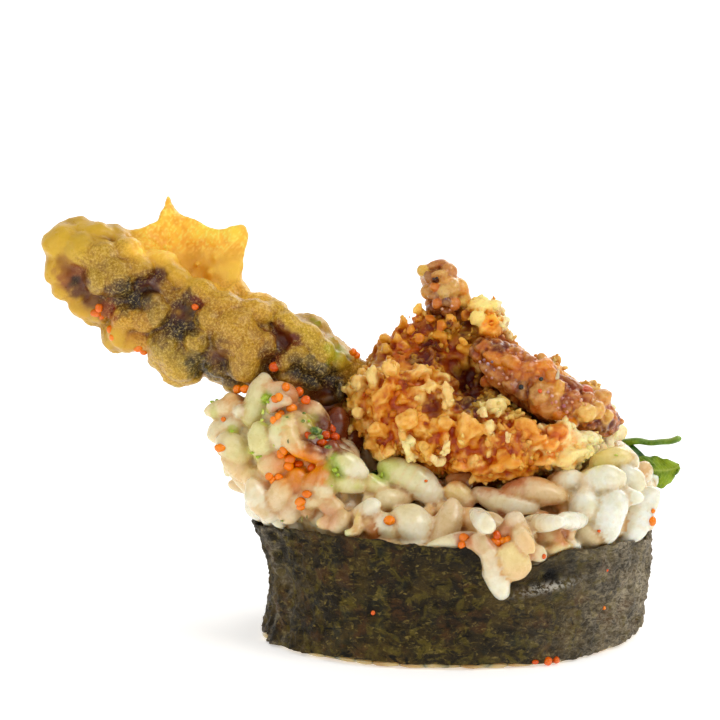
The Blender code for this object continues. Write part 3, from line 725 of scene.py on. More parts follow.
# u, v, length px, width px, angle (anticlockwise), tint at one end, tint at the other, how proud mm, bend mm
HEROES = [
    (258, 399, 54, 26, 93, "G", "C", 1.9, 0.3), (261, 441, 38, 27, 98, "G", "G", 1.7, 0.3),
    (226, 409, 44, 18, 4, "C", "P", 0.9, 0.2), (227, 427, 42, 25, 24, "C", "C", 0.8, 0.4),
    (234, 448, 38, 27, -38, "C", "G", 0.9, 0.3), (241, 468, 44, 24, -36, "K", "P", 0.7, 0.2),
    (257, 480, 34, 22, -20, "Y", "P", 0.3, 0.2), (261, 501, 48, 23, 118, "W", "W", 1.5, 0.4),
    (280, 495, 34, 22, 62, "K", "P", 1.1, 0.2), (291, 512, 26, 17, 62, "K", "M", 0.7, 0.2),
    (293, 436, 46, 17, 108, "P", "Y", 0.9, 0.9), (281, 433, 34, 22, 80, "C", "G", 1.1, 0.3),
    (278, 404, 26, 15, 22, "M", "K", 1.0, 0.9), (302, 424, 31, 20, 143, "P", "T", 0.5, 0.3),
    (282, 393, 34, 20, -20, "K", "P", 0.4, 0.3), (317, 415, 36, 18, -45, "T", "P", 0.2, 0.3),
    (275, 463, 33, 25, 30, "P", "O", 0.9, 0.3), (298, 485, 33, 22, 100, "B", "O", 0.2, 0.2),
    (311, 452, 30, 18, -20, "K", "S", 0.5, 0.2), (313, 492, 52, 21, 68, "S", "P", 0.9, 0.5),
    (326, 486, 46, 20, 80, "C", "K", 0.9, 0.4), (349, 464, 41, 23, -30, "G", "W", 1.5, 0.3),
    (349, 484, 33, 21, -10, "G", "C", 1.2, 0.3), (375, 484, 29, 20, -10, "G", "C", 0.7, 0.2),
    (411, 480, 71, 32, -24, "G", "W", 1.7, 0.8), (374, 506, 28, 18, -45, "C", "T", 0.6, 0.2),
    (394, 499, 37, 20, 0, "C", "T", 0.6, 0.2), (384, 527, 36, 25, -30, "W", "C", 1.3, 0.3),
    (412, 526, 46, 36, -50, "C", "W", 1.5, 0.4), (445, 526, 56, 28, 76, "T", "K", 1.2, 0.5),
    (340, 522, 24, 18, 60, "K", "T", 0.5, 0.2), (330, 506, 34, 20, -35, "S", "K", 0.8, 0.3),
    (325, 523, 17, 13, 0, "Y", "C", 0.8, 0.1), (350, 533, 13, 10, 0, "G", "C", 0.8, 0.1),
    (357, 526, 22, 10, 85, "T", "Y", 0.5, 0.1), (368, 527, 24, 15, -60, "T", "B", 0.3, 0.2),
    (460, 497, 34, 22, -60, "Y", "K", 1.1, 0.3), (483, 521, 46, 23, -15, "P", "K", 0.9, 0.4),
    (462, 480, 33, 17, 5, "T", "B", 0.4, 0.3), (505, 501, 64, 22, -22, "C", "W", 1.7, 0.7),
    (532, 493, 64, 26, -18, "K", "P", 1.0, 0.6), (563, 501, 20, 18, -10, "Y", "T", 0.4, 0.1),
    (559, 479, 26, 13, 0, "C", "W", 0.8, 0.2), (520, 533, 43, 25, -52, "M", "K", 1.2, 0.4),
    (539, 521, 25, 18, 45, "K", "S", 0.6, 0.2), (550, 536, 26, 17, -30, "P", "Y", 0.6, 0.2),
    (537, 553, 21, 16, -20, "K", "C", 0.7, 0.1), (566, 528, 22, 15, -60, "C", "P", 0.5, 0.2),
    (558, 553, 28, 20, 30, "P", "Y", 0.7, 0.3), (491, 566, 67, 26, -64, "K", "W", 2.3, 0.5),
    (514, 561, 38, 29, -68, "Y", "P", 2.0, 0.3), (470, 551, 23, 12, -70, "P", "K", 1.0, 0.1),
    (583, 506, 37, 27, 80, "C", "W", 1.4, 0.3), (608, 517, 57, 35, 76, "W", "W", 1.9, 0.4),
    (639, 518, 68, 29, 60, "W", "W", 1.6, 0.4), (631, 479, 31, 23, -35, "W", "C", 1.1, 0.2),
    (627, 458, 29, 21, -60, "W", "C", 0.9, 0.2), (603, 480, 45, 27, 10, "W", "C", 1.3, 0.3),
    (589, 534, 31, 25, -50, "C", "T", 0.8, 0.2), (568, 480, 33, 19, 5, "C", "W", 0.9, 0.2),
    (566, 516, 22, 15, 60, "P", "T", 0.4, 0.1), (610, 459, 41, 20, 15, "C", "Y", 0.8, 0.2),
    (566, 498, 22, 16, 0, "T", "Y", 0.3, 0.1),
    (328, 404, 42, 26, 60, "D", "B", -0.8, 0.2), (338, 424, 34, 24, 80, "D", "D", -0.9, 0.2), (350, 436, 34, 26, 70, "D", "D", -1.2, 0.2), 
]


def grain_template(rings=11, segs=16):
    """Unit grain: x from -1 to 1 with blunt ends, round section of radius 1."""
    pts = [(-1.0, 0.0, 0.0)]
    for i in range(1, rings):
        phi = math.pi * i / rings
        for j in range(segs):
            a = 2.0 * math.pi * j / segs
            s = math.sin(phi) ** 0.82
            pts.append((-math.cos(phi), s * math.cos(a), s * math.sin(a)))
    pts.append((1.0, 0.0, 0.0))
    faces = []
    last = len(pts) - 1
    for j in range(segs):
        k = (j + 1) % segs
        faces.append((0, 1 + k, 1 + j))
        for i in range(rings - 2):
            a, b = 1 + i * segs, 1 + (i + 1) * segs
            faces += [(a + j, a + k, b + k), (a + j, b + k, b + j)]
        a = 1 + (rings - 2) * segs
        faces.append((a + j, a + k, last))
    return np.array(pts), np.array(faces)


def grain_mesh(items, template, seed):
    """items: (centre, long axis, outward, half length, half width, half thickness, bend, taper, tint0, tint1).
    Where two grains meet they swell towards each other, as sticky grains do, and their tint there is darkened as
    painted shade in the crease."""
    tv, tf = template
    frames, verts, colours, creases = [], [], [], []
    for c, ax, out, *_ in items:
        ax = ax / np.linalg.norm(ax)
        out = out - ax * out.dot(ax)
        out /= np.linalg.norm(out) + 1e-9
        frames.append(np.stack([ax, np.cross(out, ax), out]))
    middles = np.array([i[0] for i in items])
    for k, (c, _, _, hl, hw, ht, bend, taper, t0, t1) in enumerate(items):
        ax, side, out = frames[k]
        x, y, z = tv.T
        lump = 1.0 + 0.05 * np.sin(3.0 * x + k) + 0.07 * vnoise(tv * 1.6 + k * 7.1, seed)
        # the notch where the germ was
        notch = 1.0 - 0.22 * np.exp(-(((x - 0.82) / 0.20) ** 2)) * np.clip(y + 0.2, 0.0, 1.0)
        wide = (1.0 + taper * x) * lump * notch
        across = np.clip(y * hw * wide, -hw * 0.95, hw * 0.95)
        curve = bend * (1.0 - x * x) - bend * 0.5
        p = (c + np.outer(x * hl, ax) + np.outer(across + curve * 0.8, side)
             + np.outer(z * ht * wide + curve * 0.25, out))
        away = p - c
        away /= np.linalg.norm(away, axis=1, keepdims=True) + 1e-9
        p = p + away * (0.13 * vnoise(p / 1.35, seed + 2) + 0.05 * vnoise(p / 0.55, seed + 3))[:, None]
        touch = np.zeros(len(p))
        for j in np.where(np.linalg.norm(middles - c, axis=1) < hl + 4.6)[0]:
            if j == k:
                continue
            other = items[j]
            q = (p - other[0]) @ frames[j].T
            gap = (np.linalg.norm(q / np.array(other[3:6]), axis=1) - 1.0) * min(other[4], other[5])
            touch = np.maximum(touch, np.exp(-(np.clip(gap, 0.0, 9.0) / 0.42) ** 2))
        p = p + away * (0.06 * touch)[:, None]
        verts.append(p)
        creases.append(touch)
        w = smooth(-0.7, 0.8, x + 0.25 * vnoise(tv * 1.3 + k * 3.7, seed + 1))[:, None]
        colours.append(lin(t0) * (1 - w) + lin(t1) * w)
    faces = (tf[None] + (np.arange(len(items)) * len(tv))[:, None, None]).reshape(-1, 3)
    crease = np.concatenate(creases)[:, None]
    tint = np.concatenate(colours)
    # painted shade: the tint darkens and warms in the creases where grains touch
    tint = tint * (1 - 0.7 * crease) + tint * lin((240, 208, 162)) * 0.7 * crease
    return np.concatenate(verts), faces, tint


RIGHT, UP = np.array([1.0, 0.0, 0.0]), np.array([0.0, SE, CE])


# how near the camera (y, mm) the grains on the rim lie, where their pixel's ray would pass over it
NEARER = {(411, 480): -14.6, (375, 484): -15.4, (394, 499): -16.0, (460, 497): -15.4, (462, 480): -13.6,
          (505, 501): -15.6, (532, 493): -15.0, (483, 521): -18.0}


def seen_at(p):
    """The picture pixel that a point is seen at."""
    d = p - EYE
    z = d @ ray(360, 360)
    return 360.0 + FOCAL * d[0] / z, 360.0 - FOCAL * (d @ UP) / z


def under_hero(c):
    """Whether a named grain covers this point in the picture."""
    x, y = seen_at(c)
    for u, v, length, width, angle, *_ in HEROES:
        a = math.radians(angle)
        dx, dy = x - u, v - y
        s, t = dx * math.cos(a) + dy * math.sin(a), -dx * math.sin(a) + dy * math.cos(a)
        if (2 * s / length) ** 2 + (2 * t / width) ** 2 < 1.25:
            return True
    return False


def rice_items():
    items, boxes = [], []

    def add(c, ax, out, hl, hw, ht, bend, taper, t0, t1):
        items.append((c, ax, out, hl, hw, ht, bend, taper, t0, t1))
        boxes.append((c, ax / np.linalg.norm(ax), hl, hw))

    for u, v, length, width, angle, t0, t1, proud, bend in HEROES:
        p, n = heap_skin.hit(u, v)
        scale = FOCAL / 350.0
        hl, hw = length / scale / 1.93, width / scale / 1.9
        a = math.radians(angle)
        ax = RIGHT * math.cos(a) + UP * math.sin(a)
        ax = ax - n * ax.dot(n) * 0.55
        towards = -ray(u, v)
        out = n * 0.5 + towards * 0.5
        c = p + towards * (proud - hw * 0.92)
        if (u, v) in NEARER:
            c = c + towards * (c[1] - NEARER[(u, v)]) / -towards[1]
        # ends that run backwards along the picture's own direction keep their place in it
        sign = 1.0 if rng.random() < 0.5 else -1.0
        add(c, ax, out, hl, hw, hw * 0.9, bend * sign if bend < 1 else bend, 0.08 * sign, TINTS[t0], TINTS[t1])

    heroes = len(items)
    pts, nrm = rice_skin.scatter(15000)
    crab_gap = crab_skin.away(pts)
    ang = np.degrees(np.arctan2(pts[:, 1] - ROLL[1], pts[:, 0] - ROLL[0])) % 360.0
    rad = np.hypot(pts[:, 0] - ROLL[0], pts[:, 1] - ROLL[1])
    behind = (rad > plan_radius(ang) - 3.6) & (pts[:, 2] < nori_top(ang) - 0.6) & (pts[:, 2] > 0.3)
    keep = (crab_gap > 0.35) & ~behind & ~((pts[:, 2] < 0.3) & (rad > plan_radius(ang) - 3.0))
    keep &= leaf_skin.away(pts) > 1.1
    pts, nrm, ang = pts[keep], nrm[keep], ang[keep]
    for layer, (sink, room) in enumerate(((1.1, 0.42), (2.5, 0.6))):
        start = len(boxes)
        for p, n in zip(pts, nrm):
            flat = p[2] < 0.3
            hl, hw = rng.uniform(3.0, 4.0), rng.uniform(1.12, 1.45)
            front = p[1] < 3.0 and p[2] > 10.0 and n @ -ray(360, 420) > 0.1
            c = p - n * (hw * 0.75 if flat else sink + rng.uniform(-0.3, 0.4))
            if p[0] > 28.0 and p[2] > 19.0:
                c = c - n * 1.0
            ax = np.cross(n, rng.normal(size=3))
            ax /= np.linalg.norm(ax)
            ax = ax + n * rng.uniform(-0.16, 0.16) * (0.0 if flat else 1.0)
            if front and not flat:
                # the outer grains lie along the heap, none end on
                view = ray(*seen_at(c))
                ax = ax - view * (ax @ view) * 0.75
            ax /= np.linalg.norm(ax)
            # its ends don't reach out of the heap
            reach = -rice_skin.depth([c + ax * hl * 0.85, c - ax * hl * 0.85]).min() + 0.4 * hw
            room_out = 0.1 if p[0] > 28.0 or p[0] < -12.0 else 0.7
            if not flat and reach > room_out:
                c = c - n * (reach - room_out)
            clash = False
            for q in (c, c + ax * hl * 0.8, c - ax * hl * 0.8):
                x, y = seen_at(q)
                clash |= (x > 600.0 and y < 462.0 and q[0] > 24.0 or x < 262.0 and y > 468.0 and front
                          or 296.0 < x < 366.0 and y < 440.0 and q[1] < 12.0 or x > 652.0 and 478.0 < y < 534.0)
                clash |= front and not layer and (under_hero(q) or x > 606.0 and y < 472.0 or x < 250.0 and y < 400.0)
            if clash:
                continue
            group = boxes if layer == 0 else boxes[start:]
            if group:
                cc = np.array([b[0] for b in group])
                aa = np.array([b[1] for b in group])
                ll = np.array([b[2] for b in group])
                ww = np.array([b[3] for b in group])
                d = c - cc
                s = np.einsum("ij,ij->i", d, aa)
                perp = np.sqrt(np.maximum((d * d).sum(1) - s * s, 0.0))
                turn = np.abs(aa @ ax)
                reach = hw + (hl - hw) * turn
                wide = hw + (hl - hw) * 0.55 * (1 - turn)
                if ((s / (ll + reach * room)) ** 2 + (perp / (ww + wide * room)) ** 2 < 1.0).any():
                    continue
            right = smooth(18.0, 34.0, p[0])
            pick = rng.random()
            if pick < 0.30 + 0.35 * right:
                t0 = TINTS["W"]
            elif pick < 0.72:
                t0 = TINTS["C"]
            elif pick < 0.86:
                t0 = TINTS["K"]
            else:
                t0 = TINTS["P"]
            t1 = TINTS["W"] if rng.random() < 0.5 else TINTS["C"]
            if layer:
                t0 = TINTS["P"]
            add(c, ax, n, hl, hw, hw * rng.uniform(0.82, 0.95), rng.uniform(-0.5, 0.5), rng.uniform(-0.12, 0.12), t0, t1)
            if layer and len(boxes) - start > 240:
                break
    return items, heroes


RICE_DAUBS = [  # orange from the roe, brown from the sauce, green from the leaf, and at (422, 503) a painted shadow in a hole between grains
    (306, 464, 2.8, (226, 136, 0), 0.97), (294, 456, 1.8, (236, 154, 10), 0.85), (319, 470, 2.0, (220, 134, 0), 0.85),
    (283, 475, 1.5, (230, 150, 36), 0.7), (302, 484, 1.8, (214, 140, 44), 0.6), (331, 432, 3.0, (104, 36, 2), 0.95), (276, 417, 1.2, (240, 130, 50), 0.6),
    (284, 387, 2.0, (230, 140, 60), 0.5), (300, 395, 2.4, (196, 104, 36), 0.6), (325, 440, 2.6, (140, 56, 4), 0.85),
    (330, 520, 1.8, (206, 130, 80), 0.5), (422, 503, 1.5, (150, 116, 70), 0.8), (470, 512, 1.4, (190, 110, 44), 0.7),
    (487, 503, 1.1, (186, 98, 22), 0.8), (500, 516, 1.0, (176, 92, 36), 0.8), (474, 493, 1.2, (206, 120, 30), 0.7),
    (550, 520, 1.5, (190, 112, 60), 0.8), (556, 508, 1.4, (200, 130, 60), 0.6), (562, 536, 1.5, (196, 112, 50), 0.7),
    (540, 542, 1.3, (196, 124, 74), 0.6), (500, 536, 1.8, (190, 112, 60), 0.7), (466, 540, 1.4, (206, 112, 50), 0.7),
    (526, 556, 1.2, (190, 120, 60), 0.6), (480, 545, 1.2, (206, 150, 100), 0.5), (455, 470, 2.2, (196, 120, 44), 0.7),
    (486, 476, 2.6, (190, 108, 36), 0.8), (512, 478, 2.2, (180, 90, 24), 0.8), (545, 470, 2.4, (206, 140, 60), 0.6),
    (590, 458, 2.8, (240, 214, 130), 0.7), (608, 452, 2.6, (236, 220, 140), 0.6), (596, 470, 1.6, (228, 226, 140), 0.5),
    (334, 463, 1.3, (150, 176, 20), 0.75), (338, 473, 1.0, (150, 172, 24), 0.7), (332, 480, 0.9, (178, 176, 60), 0.6),
    (356, 481, 1.4, (206, 212, 120), 0.6), (382, 474, 1.6, (164, 186, 40), 0.75), (384, 466, 1.8, (206, 214, 120), 0.6),
    (266, 398, 0.9, (160, 190, 10), 0.9), (264, 412, 0.9, (186, 204, 70), 0.75), (266, 422, 0.9, (190, 206, 70), 0.7),
    (252, 452, 0.9, (186, 196, 60), 0.8), (261, 456, 1.1, (176, 192, 30), 0.85), (273, 445, 0.9, (206, 214, 100), 0.7),
    (215, 402, 1.0, (130, 168, 0), 0.9), (216, 411, 1.1, (196, 200, 90), 0.6), (232, 431, 0.8, (186, 202, 60), 0.8),
    (288, 440, 0.8, (150, 158, 40), 0.7), (287, 418, 0.6, (160, 150, 50), 0.6), (309, 421, 1.3, (186, 180, 60), 0.6),
    (336, 489, 0.6, (170, 160, 60), 0.6), (348, 533, 0.8, (206, 214, 150), 0.6), (244, 456, 4.0, (232, 214, 150), 0.35),
    (250, 478, 3.4, (236, 204, 150), 0.45),
]


def in_roll(verts):
    """Keeps grains inside the nori below its edge, and off the floor."""
    t = np.degrees(np.arctan2(verts[:, 1] - ROLL[1], verts[:, 0] - ROLL[0])) % 360.0
    r = np.hypot(verts[:, 0] - ROLL[0], verts[:, 1] - ROLL[1])
    v = (verts[:, 2] - nori_foot(t)) / (nori_top(t) - nori_foot(t))
    limit = plan_radius(t) - waist(t, v) - lap_inset(t) - 1.05 - 0.45 * near(t, 298.0, 15.0)
    over = smooth(0.0, 1.0, nori_top(t) + 0.2 - verts[:, 2])
    hang = (near(t, 283.5, 7.0) > 0.35) & (verts[:, 2] > 5.0)
    inside = np.where((r > limit) & ~(hang & (r > limit + 0.3)), r + (limit - r) * over, r)
    out = verts.copy()
    out[:, 0] = ROLL[0] + (verts[:, 0] - ROLL[0]) * inside / r
    out[:, 1] = ROLL[1] + (verts[:, 1] - ROLL[1]) * inside / r
    wide = np.abs(out[:, 1]) > 25.0
    out[wide, 1] = np.sign(out[wide, 1]) * (25.0 + 1.1 * (1.0 - np.exp((25.0 - np.abs(out[wide, 1])) / 1.1)))
    low = out[:, 2] < 0.35
    out[low, 2] = 0.04 + 0.31 * np.exp((out[low, 2] - 0.35) / 0.5)
    return out


def rice_tint(tint, verts):
    """Darker and warmer where it lies deep under the heap, as painted shade, and stained by the roe, the sauce and the
    leaf.
    """
    depth = rice_skin.depth(verts)
    warm = (smooth(0.8, 2.8, depth + 0.3 * vnoise(verts / 1.2, 9)) * 0.36)[:, None]
    tint = tint * (1 - warm) + tint * lin((228, 180, 116)) * warm
    tint = tint * (1 + (np.array([0.99, 1.05, 1.17]) - 1) * smooth(18.0, 28.0, verts[:, 0])[:, None])
    return paint(tint, verts, heap_skin, RICE_DAUBS, 41, 0.5, 0.9)


def build_rice():
    """Gives the front of the rice back, to look up what is seen at a pixel."""
    items, heroes = rice_items()
    seen = None
    # the mass behind the outer grains
    core_v, core_f = remeshed(rice_skin.v, rice_skin.f, 0.7, 2)
    core_v = relax(core_v - normals_of(core_v, core_f) * 1.05, core_f, 1)
    core_v[:, 2] = np.maximum(core_v[:, 2], 0.3)
    core_f = np.concatenate([core_f[:, [0, 1, 2]], core_f[:, [0, 2, 3]]])
    behind_y, under_z = 3.5, 11.0
    front = [i for i in items if i[0][1] < 4.0 and i[0][2] > 10.2]
    rest = [i for i in items if not (i[0][1] < 3.0 and i[0][2] > 11.5)]
    for name, group, template, planes, voxel in (
            ("rice_front", front, grain_template(13, 20), (((0, behind_y, 0), (0, 1, 0)), ((0, 0, under_z), (0, 0, -1))), 0.285),
            ("rice_rest", rest, grain_template(10, 14), (), 0.42)):
        verts, faces, tint = grain_mesh(group, template, 5)
        verts = in_roll(verts)
        core = boxed(core_v, core_f, planes) if planes else (core_v, core_f)
        v, f = remeshed(*joined((verts, faces), core), voxel)
        v = relax(v, f, 1, 0.35)
        who, far = nearest_of(verts, v)
        tint = tint[who]
        # painted shade: where the skin lies away from every grain, in the gaps, it is tinted darker and warmer
        behind = smooth(0.35, 0.9, far)[:, None]
        tint = tint * (1 - behind) + lin((226, 188, 132)) * behind
        # the hollows between grains are pressed in and darkened as painted shade, lighter towards the right
        crease = np.clip(cavity(v, f, 5, 0.10), 0.0, 1.0)
        v = v - normals_of(v, f) * (0.10 * crease)[:, None]
        shade = lin((238, 200, 146)) + (lin((214, 214, 186)) - lin((238, 200, 146))) * smooth(20.0, 28.0, v[:, 0])[:, None]
        tint = tint * (1 - 0.45 * crease[:, None]) + tint * shade * 0.45 * crease[:, None]
        tint = rice_tint(tint, v)
        if planes:
            # the faces against the other rice are never seen
            mid = v[f].mean(1)
            hidden = (mid[:, 2] < under_z + 0.2) & (rice_skin.depth(mid) > 1.0) | (mid[:, 1] > behind_y - 0.2) & (rice_skin.depth(mid) > 1.0)
            f = f[~hidden]
            used = np.unique(f)
            again = np.zeros(len(v), int)
            again[used] = np.arange(len(used))
            v, tint, f = v[used], tint[used], again[f]
        make(name, v, f, RICE, ("rice_bed",) if planes else (), colours=tint)
        if planes:
            seen = BVHTree.FromPolygons(v.tolist(), f.tolist())
        print(name, "grains", len(group), "quads", len(f))
    # grains pressed flat along the foot of the nori
    items = []
    for t in np.arange(0.0, 360.0, 6.4):
        t = t + rng.uniform(-1.6, 1.6)
        ta = np.array([t])
        a = math.radians(t)
        r = float((plan_radius(ta) - waist(ta, np.array([0.0])) - lap_inset(ta))[0]) - rng.uniform(1.1, 1.6)
        along = np.array([-math.sin(a + rng.uniform(-0.15, 0.15)), math.cos(a), 0.0])
        tint = TINTS["W"] if rng.random() < 0.6 else TINTS["T"]
        items.append((np.array([ROLL[0] + r * math.cos(a), ROLL[1] + r * math.sin(a), 0.48]), along,
                      np.array([0.0, 0.0, 1.0]), rng.uniform(1.6, 2.6), 1.0, 0.42, rng.uniform(-0.2, 0.2), 0.0, tint, TINTS["C"]))
    v, f, tint = grain_mesh(items, grain_template(9, 12), 25)
    v[:, 2] = np.maximum(v[:, 2], 0.06)
    make("rice_foot", v, f, RICE, colours=tint * lin((226, 222, 204)))
    return seen


def cavity(v, f, rounds, size):
    """1 in hollows, -1 on ridges, judged over about that many mesh steps."""
    s = relax(v, f, rounds, 0.6)
    return np.clip(((s - v) * normals_of(v, f)).sum(1) / size, -1.0, 1.0)


grain_tree = build_rice()


# --------------------------------------------------------------------------- roe
ROE_SPOTS = [  # u, v, diameter mm, 0 bright .. 1 deep red
    (237, 389, 1.4, 0.3), (245, 389, 1.4, 0.4), (286, 387, 1.25, 0.3), (279, 397, 1.2, 0.1), (275, 399, 1.1, 0.4),
    (292, 408, 1.5, 0.1), (299, 392, 1.5, 0.7), (306, 400, 1.4, 0.8), (274, 420, 1.0, 0.2), (278, 417, 1.1, 0.1), (281, 414, 0.9, 0.2), (223.5, 419.5, 0.8, 0.4),
    (220, 448, 1.4, 0.1), (284, 450, 1.4, 0.2), (281, 454, 1.2, 0.3), (290, 459, 1.4, 0.4), (289, 466, 1.3, 0.3),
    (298, 464, 1.2, 0.8), (312, 468, 1.2, 0.7), (273, 480, 1.2, 0.2), (269, 476, 1.0, 0.3), (279, 477, 1.1, 0.3), (300, 502, 1.5, 0.1), (307, 494, 1.3, 0.4), (301, 507, 1.0, 0.3), (308, 435, 1.2, 0.9),
    (326, 435, 1.3, 0.9), (331, 429, 1.3, 0.9), (335, 437, 1.3, 1.0), (322, 443, 1.2, 0.9), (389.5, 520.5, 1.5, 0.1),
    (464, 538, 1.2, 0.4), (462, 545, 1.1, 0.5), (461, 554, 1.4, 0.5), (496, 542, 1.5, 0.4), (503, 541, 1.2, 0.1),
    (508, 541, 1.3, 0.1), (497, 536, 1.2, 0.8), (544, 556.5, 0.7, 0.8), (652, 521, 1.2, 0.2), (653, 511, 0.7, 0.3),
    (599, 531, 0.5, 0.8), (426, 481, 0.45, 0.6), (458, 552, 1.1, 0.4),
]
LEG_ROE = [(96, 313, 1.4, 0.5), (101, 316, 1.3, 0.6), (99, 308, 1.1, 0.6), (111, 330, 1.2, 0.4), (113, 337, 1.1, 0.3),
           (138, 347, 1.3, 0.4), (144, 350, 1.3, 0.3), (195, 307, 1.0, 0.8), (274, 367, 1.3, 0.9), (353, 352, 1.3, 0.5),
           (357, 355, 1.1, 0.5), (264, 385, 1.2, 0.7), (270, 388, 1.3, 0.6), (280, 384, 1.2, 0.8)]
NORI_ROE = [(373, 613, 0.6, 0.9), (604, 608, 0.5, 0.3), (606, 570, 0.6, 1.0), (548, 661, 1.4, 0.7), (556, 660, 1.2, 0.8),
            (535, 662, 0.8, 0.9)]


def build_roe():
    tv, tf = BALL3
    spots = []
    for u, v, size, deep in ROE_SPOTS:
        p, n = heap_skin.hit(u, v)
        towards = -ray(u, v)
        # a bead sits half sunk in the grain that is seen there
        q = grain_tree.ray_cast(Vector(EYE), Vector(ray(u, v)))[0]
        if q is not None and np.linalg.norm(np.array(q) - EYE) < np.linalg.norm(p - EYE) + 3.0:
            spots.append((np.array(q) + towards * size * 0.1, size, deep))
        else:
            spots.append((p + towards * 0.35, size * 0.92, deep))
    for u, v, size, deep in LEG_ROE:
        p, n = front_skin.hit(u, v)
        spots.append((p - ray(u, v) * 0.25, size, deep))
    for u, v, size, deep in NORI_ROE:
        d = ray(u, v)
        t = (-25.0 - EYE[1]) / d[1]
        for _ in range(8):
            q = EYE + d * t
            a = math.degrees(math.atan2(q[1] - ROLL[1], q[0] - ROLL[0])) % 360.0
            rr = math.hypot(q[0] - ROLL[0], q[1] - ROLL[1])
            lim = float(plan_radius(np.array([a]))[0]) - 0.15 - float(waist(np.array([a]), np.array([q[2] / 14.0]))[0])
            t += (rr - lim) * 0.9
        spots.append((EYE + d * t, size, deep))
    # beads worked in among the grains everywhere else
    pts, nrm = rice_skin.scatter(900)
    t = np.degrees(np.arctan2(pts[:, 1] - ROLL[1], pts[:, 0] - ROLL[0])) % 360.0
    ok = (pts[:, 2] > nori_top(t) + 0.6) & (pts[:, 1] > 2.0) | ((pts[:, 2] < 0.3) & (pts[:, 0] < 30.0))
    ok &= (crab_skin.away(pts) > 1.3) & (leaf_skin.away(pts) > 2.5)
    chosen = np.where(ok)[0][:70]
    for i in chosen:
        if fbm(pts[i:i + 1] / 9.0, 2, 77)[0] > -0.05:
            sink = 0.25 if pts[i, 2] > 1.0 else -0.7
            spots.append((pts[i] + nrm[i] * (sink - 0.1), rng.uniform(1.1, 1.5), rng.uniform(0.1, 0.6)))
    verts, colours = [], []
    for k, (c, size, deep) in enumerate(spots):
        squash = 1.0 + rng.uniform(-0.2, 0.15, 3)
        dent = 1.0 + 0.14 * vnoise(tv * 1.2 + k * 5.3, 8)
        p = c + tv * dent[:, None] * squash * size * 0.46
        p[:, 2] = np.maximum(p[:, 2], 0.05)
        verts.append(p)
        tone = lin((250, 142, 0)) * (1 - deep) + lin((212, 70, 0)) * deep
        colours.append(np.tile(tone * rng.uniform(0.9, 1.1), (len(tv), 1)))
    faces = (tf[None] + (np.arange(len(spots)) * len(tv))[:, None, None]).reshape(-1, 3)
    make("roe_beads", np.concatenate(verts), faces, ROE, colours=np.concatenate(colours))
    print("roe", len(spots), "triangles", len(faces))


build_roe()

# ------------------------------------------------------------------- crab mound
# daubs of colour on the crust; the dark one at (432, 406) is painted shade in a crevice between flakes
CRAB_DAUBS = [
    (385, 402, 7.0, (226, 166, 84)), (364, 380, 5.0, (224, 176, 102)), (360, 430, 4.5, (214, 160, 88)),
    (400, 440, 6.0, (226, 160, 84)), (415, 398, 4.5, (228, 172, 98)), (378, 345, 4.0, (196, 152, 104)),
    (400, 328, 4.5, (186, 112, 50)), (424, 310, 4.0, (206, 130, 60)), (430, 342, 5.0, (176, 92, 30)),
    (412, 352, 3.0, (190, 106, 38)), (455, 332, 4.0, (140, 72, 26)), (472, 334, 3.4, (92, 38, 12)),
    (422, 355, 2.2, (104, 30, 4)), (440, 352, 2.6, (120, 44, 10)), (405, 378, 2.0, (190, 110, 40)),
    (468, 366, 4.0, (170, 90, 28)), (474, 382, 3.4, (104, 30, 4)), (462, 400, 2.4, (120, 40, 6)),
    (490, 408, 3.6, (66, 18, 3)), (508, 418, 4.0, (88, 36, 12)), (530, 415, 3.6, (100, 36, 8)),
    (546, 418, 3.0, (112, 36, 8)), (432, 406, 1.5, (140, 60, 14)), (395, 392, 2.2, (206, 122, 24)),
    (380, 408, 2.6, (212, 128, 32)), (398, 412, 2.6, (216, 134, 36)), (388, 430, 2.6, (204, 116, 24)),
    (366, 402, 2.0, (212, 130, 44)), (420, 448, 3.2, (214, 156, 84)), (456, 465, 4.4, (212, 130, 40)),
    (480, 456, 5.0, (204, 116, 34)), (520, 450, 6.0, (212, 130, 44)), (545, 446, 5.0, (212, 142, 58)),
    (500, 436, 3.4, (204, 122, 46)), (535, 436, 3.4, (186, 98, 26)), (575, 440, 5.0, (250, 228, 176)),
    (598, 430, 5.0, (252, 240, 204)), (614, 424, 4.0, (252, 242, 212)), (590, 455, 5.5, (250, 236, 190)),
    (560, 458, 4.4, (242, 208, 140)), (490, 316, 4.0, (240, 226, 186)), (504, 335, 2.6, (244, 216, 156)),
    (493, 322, 1.8, (240, 160, 26)), (488, 336, 1.8, (214, 126, 30)), (500, 352, 3.6, (206, 124, 30)),
    (514, 350, 2.6, (196, 112, 36)), (540, 362, 3.2, (214, 132, 24)), (463, 306, 1.6, (150, 60, 20)),
    (470, 318, 1.8, (110, 46, 18)), (557, 433, 1.6, (176, 82, 18)), (450, 440, 2.0, (214, 120, 30)),
]
